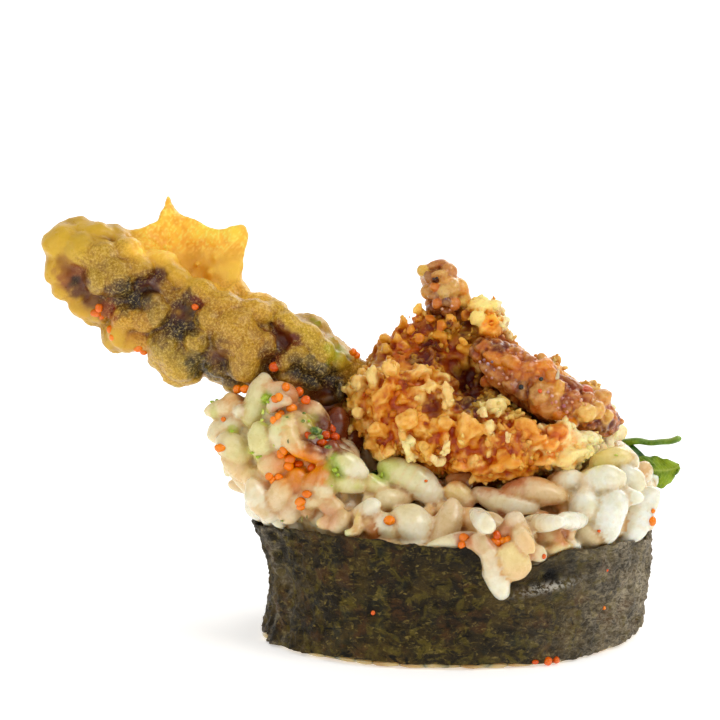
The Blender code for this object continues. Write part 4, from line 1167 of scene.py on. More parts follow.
# crumbs that stand out: u, v, width px, height px, angle, tint, proud mm
CRUMBS = [
    (460, 311, 15, 15, 0, (150, 84, 46), 1.0), (466, 316, 12, 12, 0, (176, 104, 56), 1.0), (455, 309, 10, 12, 0, (186, 120, 70), 0.8),
    (485, 325, 13, 12, 10, (238, 176, 76), 1.3), (496, 327, 11, 14, 0, (234, 160, 50), 1.3), (490, 334, 14, 10, 0, (226, 146, 44), 1.2),
    (492, 405, 26, 22, 10, (232, 212, 150), 1.9), (502, 402, 11, 12, 0, (226, 204, 142), 2.1),
    (484, 412, 12, 16, 0, (236, 216, 158), 1.7), (491, 424, 13, 20, 5, (236, 214, 150), 1.5),
    (515, 406, 8, 8, 0, (210, 180, 118), 1.4), (517, 414, 14, 8, 15, (206, 176, 116), 1.3),
    (509, 418, 10, 6, 20, (206, 172, 112), 1.1), (507, 436, 6, 14, 10, (232, 204, 156), 1.4),
    (406, 446, 14, 18, 20, (250, 232, 170), 1.6), (412, 458, 10, 16, -20, (246, 222, 156), 1.3),
    (424, 450, 16, 26, 10, (222, 172, 98), 0.9), (441, 461, 18, 10, 30, (244, 222, 164), 1.6),
    (446, 448, 9, 15, -20, (240, 212, 152), 1.6), (434, 458, 9, 8, 0, (246, 224, 166), 1.7),
    (447, 396, 17, 30, -8, (232, 192, 130), 2.0), (444, 378, 14, 14, 0, (232, 190, 126), 1.5),
    (470, 427, 28, 30, 25, (226, 168, 98), 2.2), (462, 444, 20, 16, 0, (220, 156, 86), 1.6),
    (446, 420, 16, 16, 0, (216, 152, 84), 1.2), (372, 375, 15, 24, 0, (236, 202, 130), 1.6),
    (357, 385, 16, 26, 10, (220, 180, 118), 1.3), (394, 366, 24, 18, 0, (230, 180, 112), 1.7),
    (420, 370, 26, 13, -10, (232, 184, 120), 1.5), (346, 424, 16, 20, 20, (212, 172, 112), 1.2),
    (356, 412, 14, 14, 0, (220, 184, 120), 1.2), (376, 430, 22, 16, 0, (228, 164, 86), 1.4),
    (412, 418, 30, 18, 15, (228, 166, 84), 1.9), (402, 432, 12, 20, 0, (238, 196, 126), 1.4),
    (427, 388, 20, 12, 10, (236, 192, 118), 1.4), (386, 350, 13, 14, 0, (196, 156, 104), 1.0),
    (470, 350, 28, 10, -18, (230, 182, 110), 2.1), (463, 341, 12, 10, 0, (232, 180, 104), 1.7),
    (478, 361, 14, 22, -10, (232, 190, 132), 2.0), (487, 355, 10, 14, 0, (226, 186, 124), 1.9),
    (529, 428, 26, 16, -20, (222, 150, 72), 1.3), (557, 432, 20, 15, 0, (190, 100, 30), 1.2),
    (540, 440, 18, 10, 20, (220, 140, 66), 1.2), (553, 446, 18, 10, 20, (226, 156, 76), 1.1),
    (385, 338, 12, 13, 0, (206, 164, 108), 1.2), (402, 322, 12, 15, 10, (216, 168, 110), 1.2),
    (410, 330, 14, 12, 20, (206, 130, 60), 1.2), (397, 336, 9, 12, 0, (216, 172, 118), 1.0),
    (418, 309, 15, 9, 30, (232, 196, 126), 1.3), (428, 318, 14, 9, 0, (190, 100, 36), 1.2),
    (440, 326, 12, 10, 0, (196, 104, 40), 1.2), (452, 318, 13, 9, -30, (226, 170, 108), 1.5),
    (436, 336, 22, 11, -12, (206, 150, 96), 1.5), (418, 338, 12, 12, 0, (196, 116, 46), 1.2),
    (446, 344, 12, 10, 0, (180, 96, 36), 1.0), (455, 326, 10, 9, 0, (150, 90, 50), 0.9),
    (482, 307, 27, 20, 0, (236, 224, 180), 2.0), (476, 318, 17, 18, 10, (234, 220, 172), 1.9),
    (494, 304, 14, 14, 0, (240, 228, 190), 2.0), (471, 302, 12, 7, 25, (196, 120, 60), 1.5),
    (506, 322, 12, 20, -10, (238, 226, 186), 1.7), (509, 338, 9, 16, 0, (236, 220, 170), 1.4),
    (492, 318, 13, 13, 0, (246, 178, 40), 1.8), (489, 333, 14, 14, 0, (226, 140, 30), 1.7),
    (498, 330, 8, 12, 0, (214, 120, 60), 1.9), (481, 332, 11, 9, 0, (222, 160, 96), 1.4),
    (497, 343, 20, 10, -15, (226, 150, 60), 1.7), (505, 352, 20, 10, -25, (222, 140, 36), 1.7),
    (515, 347, 9, 14, 20, (190, 120, 70), 1.2), (493, 353, 9, 10, 0, (236, 170, 90), 1.6),
    (455, 385, 12, 12, 0, (150, 70, 20), 0.5), (590, 440, 34, 15, 14, (248, 232, 180), 1.6),
    (606, 428, 22, 16, 25, (248, 232, 188), 1.6), (616, 434, 12, 14, 20, (238, 224, 172), 1.3),
    (578, 452, 28, 14, 18, (246, 214, 140), 1.4), (562, 462, 22, 12, 10, (240, 200, 118), 1.2),
    (597, 455, 26, 12, 12, (246, 230, 178), 1.3), (543, 462, 20, 12, 10, (226, 160, 80), 1.0),
    (512, 462, 22, 12, -10, (222, 148, 66), 1.1), (498, 468, 18, 10, 10, (226, 150, 70), 1.0),
    (486, 470, 26, 9, 6, (190, 100, 30), 1.1), (462, 468, 20, 11, 0, (226, 150, 66), 1.1),
    (390, 452, 18, 14, 10, (224, 160, 90), 1.1), (371, 446, 18, 12, -10, (206, 150, 84), 1.0),
]


def in_view(items, skin, sink=0.85):
    """Centres, axes (rows), radii and linear colours of lumps given by pixel, pixel size, angle, colour and proudness."""
    c, axes, radii, tints = [], [], [], []
    scale = FOCAL / 350.0
    for u, v, w, h, angle, tint, proud in items:
        p, n = skin.hit(u, v)
        d = ray(u, v)
        a = math.radians(angle)
        e1 = RIGHT * math.cos(a) + UP * math.sin(a)
        e2 = -RIGHT * math.sin(a) + UP * math.cos(a)
        rw, rh = w / scale / 2.0, h / scale / 2.0
        rd = math.sqrt(rw * rh)
        c.append(p - d * (proud - rd * sink))
        axes.append(np.stack([e1, e2, -d]))
        radii.append(np.array([rw, rh, rd]))
        tints.append(lin(tint))
    return np.array(c), np.array(axes), np.array(radii), np.array(tints)


def craggy(c, axes, radii, crag, seed, template=BALL3):
    tv, tf = template
    out = []
    for k in range(len(c)):
        dent = 1.0 + crag * vnoise(tv * 1.5 + k * 9.7, seed) + 0.6 * crag * vnoise(tv * 3.6 + k * 3.3, seed + 1)
        out.append(c[k] + (tv * dent[:, None] * radii[k]) @ axes[k])
    faces = (tf[None] + (np.arange(len(c)) * len(tv))[:, None, None]).reshape(-1, 3)
    return np.concatenate(out), faces


def nearest_lump(v, c, axes, radii):
    """Number of, and scaled distance to, the lump that each point belongs to."""
    best, who = np.full(len(v), 1e9), np.zeros(len(v), int)
    for k in range(len(c)):
        d = np.linalg.norm(((v - c[k]) @ axes[k].T) / radii[k], axis=1)
        hit = d < best
        best[hit], who[hit] = d[hit], k
    return who, best


def shards(centres, sizes, crag=0.3, template=BALL1):
    """Irregular faceted bits."""
    tv, tf = template
    k = len(centres)
    rot = turned(k)
    shape = tv[None] * (1.0 + crag * rng.uniform(-1.0, 1.0, (k, len(tv))))[:, :, None] * sizes[:, None, :]
    pts = np.einsum("nij,nvj->nvi", rot, shape) + centres[:, None, :]
    faces = (tf[None] + (np.arange(k) * len(tv))[:, None, None]).reshape(-1, 3)
    return pts.reshape(-1, 3), faces


def strewn(v, f, count):
    """Random points on triangles, with their normals."""
    a, b, c = v[f[:, 0]], v[f[:, 1]], v[f[:, 2]]
    fn = np.cross(b - a, c - a)
    area = np.linalg.norm(fn, axis=1) + 1e-12
    pick = rng.choice(len(area), size=count, p=area / area.sum())
    r1, r2 = np.sqrt(rng.random(count))[:, None], rng.random(count)[:, None]
    return (1 - r1) * a[pick] + r1 * (1 - r2) * b[pick] + r1 * r2 * c[pick], fn[pick] / area[pick][:, None]


def richer(colours, power):
    """Deeper, more saturated and a little yellower, with the bright end kept."""
    return np.clip(colours, 0.0, 1.0) ** power * (1.08, 1.14, 0.94)


def fried(colours):
    """Cream at the bright end, saturated orange and brown below it."""
    colours = np.clip(colours, 0.0, 1.0)
    deep = colours ** (1.04, 1.08, 1.5) * (1.05, 0.99, 0.62)
    light = smooth(0.34, 0.62, colours.mean(1))[:, None]
    return deep * (1 - light) + colours ** (1.0, 1.0, 1.05) * (1.12, 1.13, 1.08) * light


def build_mound():
    level = 14.0
    pts, nrm = crab_skin.scatter(26000)
    up = pts[:, 2] > level + 1.0
    pts, nrm = pts[up], nrm[up]
    open_air = (rice_skin.away(pts) > 0.5) | (pts[:, 2] > 24.0)
    pts, nrm = pts[open_air], nrm[open_air]
    high = smooth(31.0, 36.0, pts[:, 2])
    centres, radii, frames, tone = [], [], [], []
    first = 0
    for number, (lo, hi), sink in ((620, (0.95, 1.7), 0.62), (1300, (0.55, 0.95), 0.55), (900, (0.28, 0.48), 0.45)):
        p, n = pts[first:first + number], nrm[first:first + number]
        h = high[first:first + number]
        first += number
        k = len(p)
        r = rng.uniform(lo, hi, k) * (1.0 - 0.38 * h)
        frames.append(framed(n * 0.6 + np.array([0.0, 0.0, 0.5]) + rng.normal(size=(k, 3)) * 0.42))
        centres.append(p - n * (r * rng.uniform(sink - 0.25, sink + 0.35, k) + 0.25)[:, None])
        radii.append(r[:, None] * np.stack([rng.uniform(0.85, 1.25, k), rng.uniform(0.65, 1.0, k), rng.uniform(0.5, 0.85, k)], 1))
        tone.append(rng.uniform(-1.0, 1.0, k))
    hc, ha, hr, ht = in_view(CRUMBS, crab_skin)
    centres, radii, frames = np.concatenate(centres + [hc]), np.concatenate(radii + [hr * 1.08]), np.concatenate(frames + [ha])
    tone = np.concatenate(tone + [np.full(len(hc), 0.15)])
    base_v, base_f = remeshed(crab_skin.v, crab_skin.f, 0.9, 2)
    base_v = base_v - normals_of(base_v, base_f) * 0.95
    base_f = np.concatenate([base_f[:, [0, 1, 2]], base_f[:, [0, 2, 3]]])
    base_v, base_f = boxed(base_v, base_f, (((0, 0, level), (0, 0, -1)),))
    gem_v, gem_f = gems(centres, radii, frames, BALL2, 6, 0.34)
    v, f = remeshed(*joined((base_v, base_f), (gem_v, gem_f)), 0.285)
    v = relax(v, f, 1, 0.12)
    n = normals_of(v, f)
    # thin ridges run over the bits, as where the crumb's own bubbles burst
    soft = smooth(18.0, 24.0, v[:, 0]) * smooth(31.0, 27.0, v[:, 2]) * (v[:, 1] < 0.0)
    flaky = 0.34 * (0.2 - np.abs(fbm(v / 1.5, 2, 201))) + 0.20 * (0.2 - np.abs(fbm(v / 0.75, 2, 203)))
    v = v + n * ((flaky * (1 - 0.5 * soft) + 0.08 * fbm(v / 0.9, 3, 7) + 0.05 * fbm(v / 0.42, 2, 9)) * smooth(level, level + 1.0, v[:, 2]))[:, None]
    who, gap = nearest_of(gem_v, v)
    who = who // len(BALL2[0])
    cav = cavity(v, f, 6, 0.13)
    broad = cavity(v, f, 26, 0.45)
    depth = crab_skin.depth(v)
    # colours: region daubs, a tone for each bit, pale where a bit stands out, deep amber between them as painted shade
    colours = np.tile(lin((214, 144, 56)), (len(v), 1))
    drift = fbm(v / 5.0, 3, 51)[:, None]
    colours = np.where(drift > 0, colours * (1 - drift) + lin((228, 178, 92)) * drift,
                       colours * (1 + drift) + lin((160, 84, 20)) * -drift)
    top = smooth(33.0, 40.0, v[:, 2] + 2.0 * fbm(v / 3.0, 2, 53))[:, None]
    colours = colours * (1 - 0.7 * top) + lin((180, 108, 42)) * 0.7 * top
    colours = paint(colours, v, crab_skin, CRAB_DAUBS, 61, 0.45, 1.4)
    t = (tone[who] * 0.42 * (1.0 - smooth(0.3, 0.7, gap)))[:, None]
    colours = np.where(t > 0, colours + (lin((248, 214, 146)) - colours) * t, colours * (1 + t * lin((150, 190, 220))))
    hid, hd = nearest_lump(v, hc, ha, hr)
    w = (1.0 - smooth(1.0, 1.3, hd + 0.12 * fbm(v / 0.8, 2, 71)))[:, None] * 0.85
    colours = colours * (1 - w) + ht[hid] * w
    out = (smooth(0.2, -0.9, depth + 0.25 * fbm(v / 0.9, 2, 75)) * (1 - w[:, 0]))[:, None] * 0.38
    colours = colours + (lin((244, 208, 138)) - colours) * out * (colours.mean(1, keepdims=True) * 1.6 + 0.1)
    # painted shade: darker, deeper amber in the small hollows
    dip = np.clip(cav, 0, 1)[:, None] * 0.8 * (1 - 0.5 * soft[:, None])
    colours = colours * (1 - dip) + colours * lin((234, 172, 70)) * dip
    # painted shade in the broad hollows
    low = (smooth(0.0, 0.9, broad) * (1 - 0.6 * w[:, 0]) * (1 - 0.7 * soft))[:, None] * 0.8
    colours = colours * (1 - low) + colours * lin((228, 162, 52)) * low
    # paler on the ridges: crisp tips, and in part a painted highlight
    ridge = np.clip(-cav, 0, 1)[:, None] * 0.45
    colours = colours + (lin((250, 222, 160)) - colours) * ridge * (colours.mean(1, keepdims=True) + 0.25)
    # painted shade where the crust lies deep under the crab's skin, between the bits
    hollow = (smooth(0.9, 2.4, depth + 0.25 * fbm(v / 1.0, 2, 73)) * (1 - w[:, 0]) * (1 - 0.6 * soft))[:, None] * 0.85
    colours = colours * (1 - hollow) + colours * lin((212, 136, 34)) * hollow
    crown = smooth(33.5, 37.0, v[:, 2] + 1.2 * fbm(v / 2.2, 2, 77))[:, None] * (v[:, 0] < 16.0)[:, None]
    colours = colours * (1 - crown * (-0.08, 0.06, 0.42))
    make("crab_mound", v, f, CRUMB, ("crab_body",), colours=fried(colours) * (1 + soft[:, None] * (0.20, 0.03, 0.14)))
    print("mound quads", len(f))

    # loose bits of batter, half sunk in the crust
    f3 = np.concatenate([f[:, [0, 1, 2]], f[:, [0, 2, 3]]])
    pts, nrm = strewn(v, f3, 5200)
    ok = (pts[:, 2] > level + 1.5) & (fbm(pts / 1.9, 3, 89) > -0.06) & (rice_skin.depth(pts) < 0.2)
    pts, nrm = pts[ok][:1300], nrm[ok][:1300]
    k = len(pts)
    r = rng.uniform(0.3, 0.85, k) * (1.0 - 0.3 * smooth(31.0, 35.0, pts[:, 2]))
    size = r[:, None] * np.stack([rng.uniform(0.9, 1.4, k), rng.uniform(0.6, 1.0, k), rng.uniform(0.35, 0.7, k)], 1)
    body, faces = gems(pts - nrm * (r * 0.12)[:, None], size, framed(nrm * 0.5 + rng.normal(size=(k, 3)) * 0.5), BALL1, 7)
    own = colours[nearest_of(v, pts)[0]]
    t = rng.uniform(-0.5, 1.0, k)[:, None]
    own = np.where(t > 0, own + (lin((250, 212, 138)) - own) * t * 0.5, own * (1 + t * lin((120, 180, 220))))
    own = np.repeat(own, len(BALL1[0]), axis=0)
    make("crab_crumbs", body, faces, CRUMB, colours=fried(own))
    print("crumbs", k, "triangles", len(faces))

    # the part inside the roll, seen only at the cut face: flesh in a browned shell in batter
    v, f = remeshed(crab_skin.v, crab_skin.f, 0.5, 1)
    keep = (v[f].mean(1)[:, 2] < level + 4.0)
    v, f = boxed(v * (1, 1, -1), np.concatenate([f[:, [0, 2, 1]], f[:, [0, 3, 2]]]), (((0, 0, -(level + 3.0)), (0, 0, -1)),))
    v = v * (1, 1, -1)
    f = f[:, [0, 2, 1]]
    n = normals_of(v, f)
    v = v - n * (0.35 + 0.3 * fbm(v / 1.6, 3, 85))[:, None] * smooth(0.3, 1.2, v[:, 2])[:, None]
    v[:, 2] = np.where(v[:, 2] < 0.3, 0.04 + 0.06 * (1 + fbm(v / 0.8, 2, 87)), v[:, 2])
    r = np.hypot(v[:, 0] - 11.9, v[:, 1] - 0.9) + 1.3 * fbm(v / 2.2, 3, 81)
    flesh = np.where((r < 6.6)[:, None], lin((238, 218, 188)), lin((150, 78, 34)))
    flesh = np.where((r > 8.0)[:, None], lin((220, 160, 86)), flesh)
    flesh = np.where((fbm(v / 1.3, 3, 83) > 0.2)[:, None] & (r < 6.6)[:, None], lin((212, 156, 116)), flesh)
    make("crab_inside", v, f, CRUMB, colours=flesh)


rng = np.random.default_rng(71)
build_mound()

# ---------------------------------------------------------------------- long leg
SHIFT = np.array([-1.06, -0.12, 0.0])
LEG_SPINE = [(-35.4, -3.0, 47.7, 3.9), (-32.6, -3.0, 46.2, 4.8), (-28.4, -3.0, 43.6, 5.4), (-23.6, -3.0, 40.6, 5.9),
             (-18.4, -3.5, 38.2, 6.2), (-13.0, -3.8, 36.7, 6.1), (-8.4, -3.8, 35.4, 5.7), (-4.4, -3.2, 33.4, 5.0),
             (-1.0, -1.6, 31.0, 4.4), (2.6, 1.0, 28.6, 4.0)]
FIN = [(-30.2, 44.5), (-29.6, 48.0), (-28.9, 50.6), (-27.6, 51.1), (-26.6, 51.3), (-25.6, 51.7), (-25.0, 52.3),
       (-24.7, 53.4), (-24.5, 54.4), (-24.2, 55.0), (-23.7, 55.2), (-23.5, 54.2), (-23.1, 53.6), (-22.7, 52.9),
       (-22.0, 52.4), (-21.0, 52.1), (-19.9, 51.7), (-18.9, 51.1), (-17.8, 50.9), (-16.6, 51.1), (-15.4, 51.3),
       (-14.5, 51.6), (-13.9, 51.2), (-13.8, 50.2), (-14.0, 48.4), (-14.4, 46.6), (-14.8, 44.6), (-13.4, 42.8),
       (-12.4, 41.0), (-16.0, 38.0), (-26.0, 41.0)]
# batter on the front of the leg: u, v, width px, height px, angle, tint, proud mm
LEG_LUMPS = [
    (62, 243, 36, 36, 0, (214, 182, 92), 0.9), (58, 268, 24, 34, -20, (206, 170, 84), 0.8), (92, 234, 44, 24, -8, (210, 180, 92), 0.9),
    (80, 250, 34, 30, 0, (206, 176, 92), 1.0), (66, 288, 24, 26, -50, (206, 166, 84), 0.5), (82, 306, 26, 22, -50, (206, 160, 76), 0.4),
    (100, 256, 36, 30, 0, (196, 164, 86), 1.3), (112, 272, 36, 28, -20, (176, 146, 80), 1.4), (98, 280, 24, 26, 0, (176, 148, 84), 1.3),
    (126, 252, 32, 26, 0, (200, 164, 82), 1.1), (138, 268, 28, 20, -20, (184, 148, 74), 1.2), (118, 288, 26, 14, 0, (150, 120, 66), 1.0),
    (160, 262, 34, 24, -10, (206, 162, 70), 0.9), (176, 276, 30, 20, -25, (206, 164, 74), 1.1),
    (126, 318, 28, 22, 30, (206, 164, 88), 1.2), (118, 334, 18, 24, 0, (212, 170, 86), 1.0), (134, 340, 30, 22, 10, (206, 152, 76), 1.0),
    (144, 322, 22, 20, 0, (190, 148, 82), 0.9), (158, 314, 20, 26, -30, (166, 138, 84), 1.3), (152, 300, 22, 14, 10, (160, 128, 76), 1.2),
    (166, 344, 32, 36, 0, (168, 146, 86), 1.5), (182, 362, 34, 34, 0, (172, 150, 90), 1.4), (160, 358, 24, 26, 0, (176, 152, 90), 0.9),
    (186, 378, 30, 16, 10, (190, 160, 92), 0.7), (196, 342, 24, 20, 0, (176, 148, 86), 1.1), (202, 292, 32, 24, -30, (204, 164, 80), 1.3),
    (222, 306, 36, 28, -20, (200, 160, 80), 1.5), (208, 318, 22, 24, 0, (184, 148, 78), 1.3), (236, 326, 36, 34, -20, (192, 154, 76), 1.6),
    (248, 346, 34, 34, 0, (186, 148, 72), 1.6), (256, 310, 30, 22, -20, (206, 166, 84), 1.2), (244, 366, 30, 28, 0, (182, 146, 76), 1.3),
    (224, 340, 24, 24, 0, (176, 142, 78), 1.1), (236, 384, 28, 16, 10, (176, 142, 84), 0.7), (258, 378, 22, 18, 0, (176, 140, 78), 0.9),
    (276, 312, 28, 20, -20, (206, 172, 88), 1.0), (288, 324, 28, 22, -20, (204, 174, 88), 1.3), (306, 336, 30, 26, -30, (198, 172, 80), 1.3),
    (296, 352, 22, 14, -20, (176, 146, 72), 1.4), (322, 350, 28, 24, -40, (190, 166, 74), 1.1), (336, 362, 20, 22, -40, (176, 150, 66), 0.7),
    (306, 362, 24, 16, -20, (120, 104, 72), 1.2), (322, 370, 16, 16, 0, (120, 108, 84), 1.1), (284, 362, 20, 16, 0, (160, 130, 70), 1.1),
    (312, 384, 20, 14, -30, (110, 92, 66), 0.9), (290, 378, 26, 16, -10, (150, 120, 70), 0.9), (268, 344, 16, 22, 0, (186, 146, 72), 1.3),
    (340, 392, 10, 22, 0, (70, 48, 30), 0.6), (326, 400, 16, 12, 0, (84, 44, 22), 0.6),
]
LEG_DAUBS = [
    (72, 276, 2.2, (150, 84, 54), 0.9), (80, 288, 2.0, (104, 56, 40), 0.9), (74, 282, 0.9, (60, 44, 44), 0.8),
    (66, 264, 1.4, (160, 112, 56), 0.6), (92, 300, 1.6, (120, 66, 40), 0.8), (108, 300, 2.0, (116, 74, 44), 0.7),
    (124, 297, 2.4, (76, 46, 26), 0.8), (136, 293, 2.2, (36, 18, 10), 0.9), (150, 286, 2.0, (84, 28, 6), 0.95),
    (156, 276, 1.5, (96, 38, 10), 0.9), (147, 298, 1.6, (50, 18, 8), 0.9), (108, 313, 1.6, (160, 70, 30), 0.8),
    (172, 294, 1.6, (130, 90, 50), 0.5), (184, 302, 1.8, (80, 38, 16), 0.8), (186, 312, 1.6, (50, 24, 12), 0.9),
    (178, 320, 2.0, (90, 28, 8), 0.9), (170, 328, 1.8, (56, 26, 16), 0.9), (184, 328, 1.8, (44, 26, 20), 0.8),
    (196, 305, 1.1, (130, 44, 20), 0.9), (160, 336, 1.5, (96, 56, 24), 0.7), (196, 356, 1.6, (84, 76, 54), 0.6),
    (202, 368, 2.2, (46, 44, 38), 0.85), (218, 352, 1.8, (110, 60, 34), 0.8), (216, 362, 1.5, (96, 46, 30), 0.8),
    (226, 376, 2.0, (74, 54, 42), 0.8), (212, 378, 1.6, (66, 58, 46), 0.7), (208, 346, 1.4, (120, 96, 60), 0.6),
    (276, 330, 1.4, (130, 56, 20), 0.9), (284, 338, 1.8, (106, 38, 14), 0.9), (295, 342, 1.5, (116, 46, 16), 0.9),
    (270, 354, 1.7, (90, 48, 28), 0.8), (274, 364, 1.5, (120, 40, 20), 0.8), (266, 372, 1.4, (76, 36, 22), 0.7),
    (300, 366, 2.0, (84, 70, 56), 0.7), (308, 374, 2.2, (50, 38, 40), 0.85), (322, 378, 2.2, (56, 44, 44), 0.8),
    (332, 386, 2.2, (36, 22, 18), 0.9), (340, 398, 2.6, (34, 16, 10), 0.9), (326, 396, 1.8, (96, 50, 26), 0.7),
    (316, 404, 2.2, (110, 42, 14), 0.8), (334, 410, 2.4, (60, 20, 8), 0.9), (346, 412, 2.4, (40, 14, 8), 0.9),
    (292, 386, 1.6, (150, 80, 34), 0.7), (330, 352, 1.6, (166, 178, 50), 0.6), (318, 318, 1.4, (150, 170, 30), 0.7),
    (344, 350, 1.6, (150, 168, 40), 0.7), (336, 334, 1.2, (160, 172, 40), 0.6), (175, 388, 1.0, (150, 168, 60), 0.5),
    (346, 362, 1.4, (176, 160, 90), 0.5),
]
CLEAR = [  # clear batter with little frosting: u, v, radius mm
    (55, 250, 4.4), (72, 232, 4.0), (98, 232, 3.0), (58, 280, 3.0), (84, 308, 3.0), (150, 240, 5.0), (200, 240, 7.0),
    (232, 250, 5.0), (118, 342, 2.6), (150, 290, 1.6), (184, 312, 1.4), (219, 354, 1.2), (285, 338, 1.6),
    (345, 405, 3.4), (325, 405, 2.4), (80, 284, 1.6), (325, 325, 2.6), (342, 348, 2.4),
]


def fin_mesh():
    """The sheet of batter that stands on the leg, its edge torn, its face buckled."""
    edge = np.array(FIN)
    loop = []
    for a, b in zip(edge, np.roll(edge, -1, axis=0)):
        for s in np.linspace(0.0, 1.0, max(2, int(np.linalg.norm(b - a) / 0.22)), endpoint=False):
            loop.append(a * (1 - s) + b * s)
    loop = np.array(loop)
    flat = np.stack([loop[:, 0], np.zeros(len(loop)), loop[:, 1]], 1)
    mid = loop.mean(0)
    out = (loop - mid) / np.linalg.norm(loop - mid, axis=1, keepdims=True)
    loop = loop + out * (0.16 * fbm(flat / 1.1, 2, 101) + 0.10 * fbm(flat / 0.35, 2, 103) - 0.05)[:, None]
    bm = bmesh.new()
    face = bm.faces.new([bm.verts.new((x, -0.55, z)) for x, z in loop])
    back = bmesh.ops.extrude_face_region(bm, geom=[face])
    for g in back["geom"]:
        if isinstance(g, bmesh.types.BMVert):
            g.co.y = 0.55
    bmesh.ops.recalc_face_normals(bm, faces=bm.faces[:])
    bmesh.ops.triangulate(bm, faces=bm.faces[:])
    bm.verts.index_update()
    v = np.array([p.co for p in bm.verts])
    f = np.array([[p.index for p in g.verts] for g in bm.faces])
    bm.free()
    v, f = remeshed(v, f, 0.25)
    x, z = v[:, 0], v[:, 2]
    plane = np.stack([x, np.zeros(len(v)), z], 1)
    thick = 0.75 + 0.7 * fbm(plane / 1.9, 3, 105) + 1.3 * smooth(49.0, 44.0, z)
    thick = np.clip(thick, 0.85, 2.6)
    v[:, 1] = (v[:, 1] * thick - 1.2 + 0.9 * np.sin(0.55 * x + 0.8) + 0.075 * (z - 44.0)
               + 0.45 * fbm(plane / 3.6, 3, 107) + 0.10 * fbm(plane / 0.8, 2, 109))
    return v, np.concatenate([f[:, [0, 1, 2]], f[:, [0, 2, 3]]])


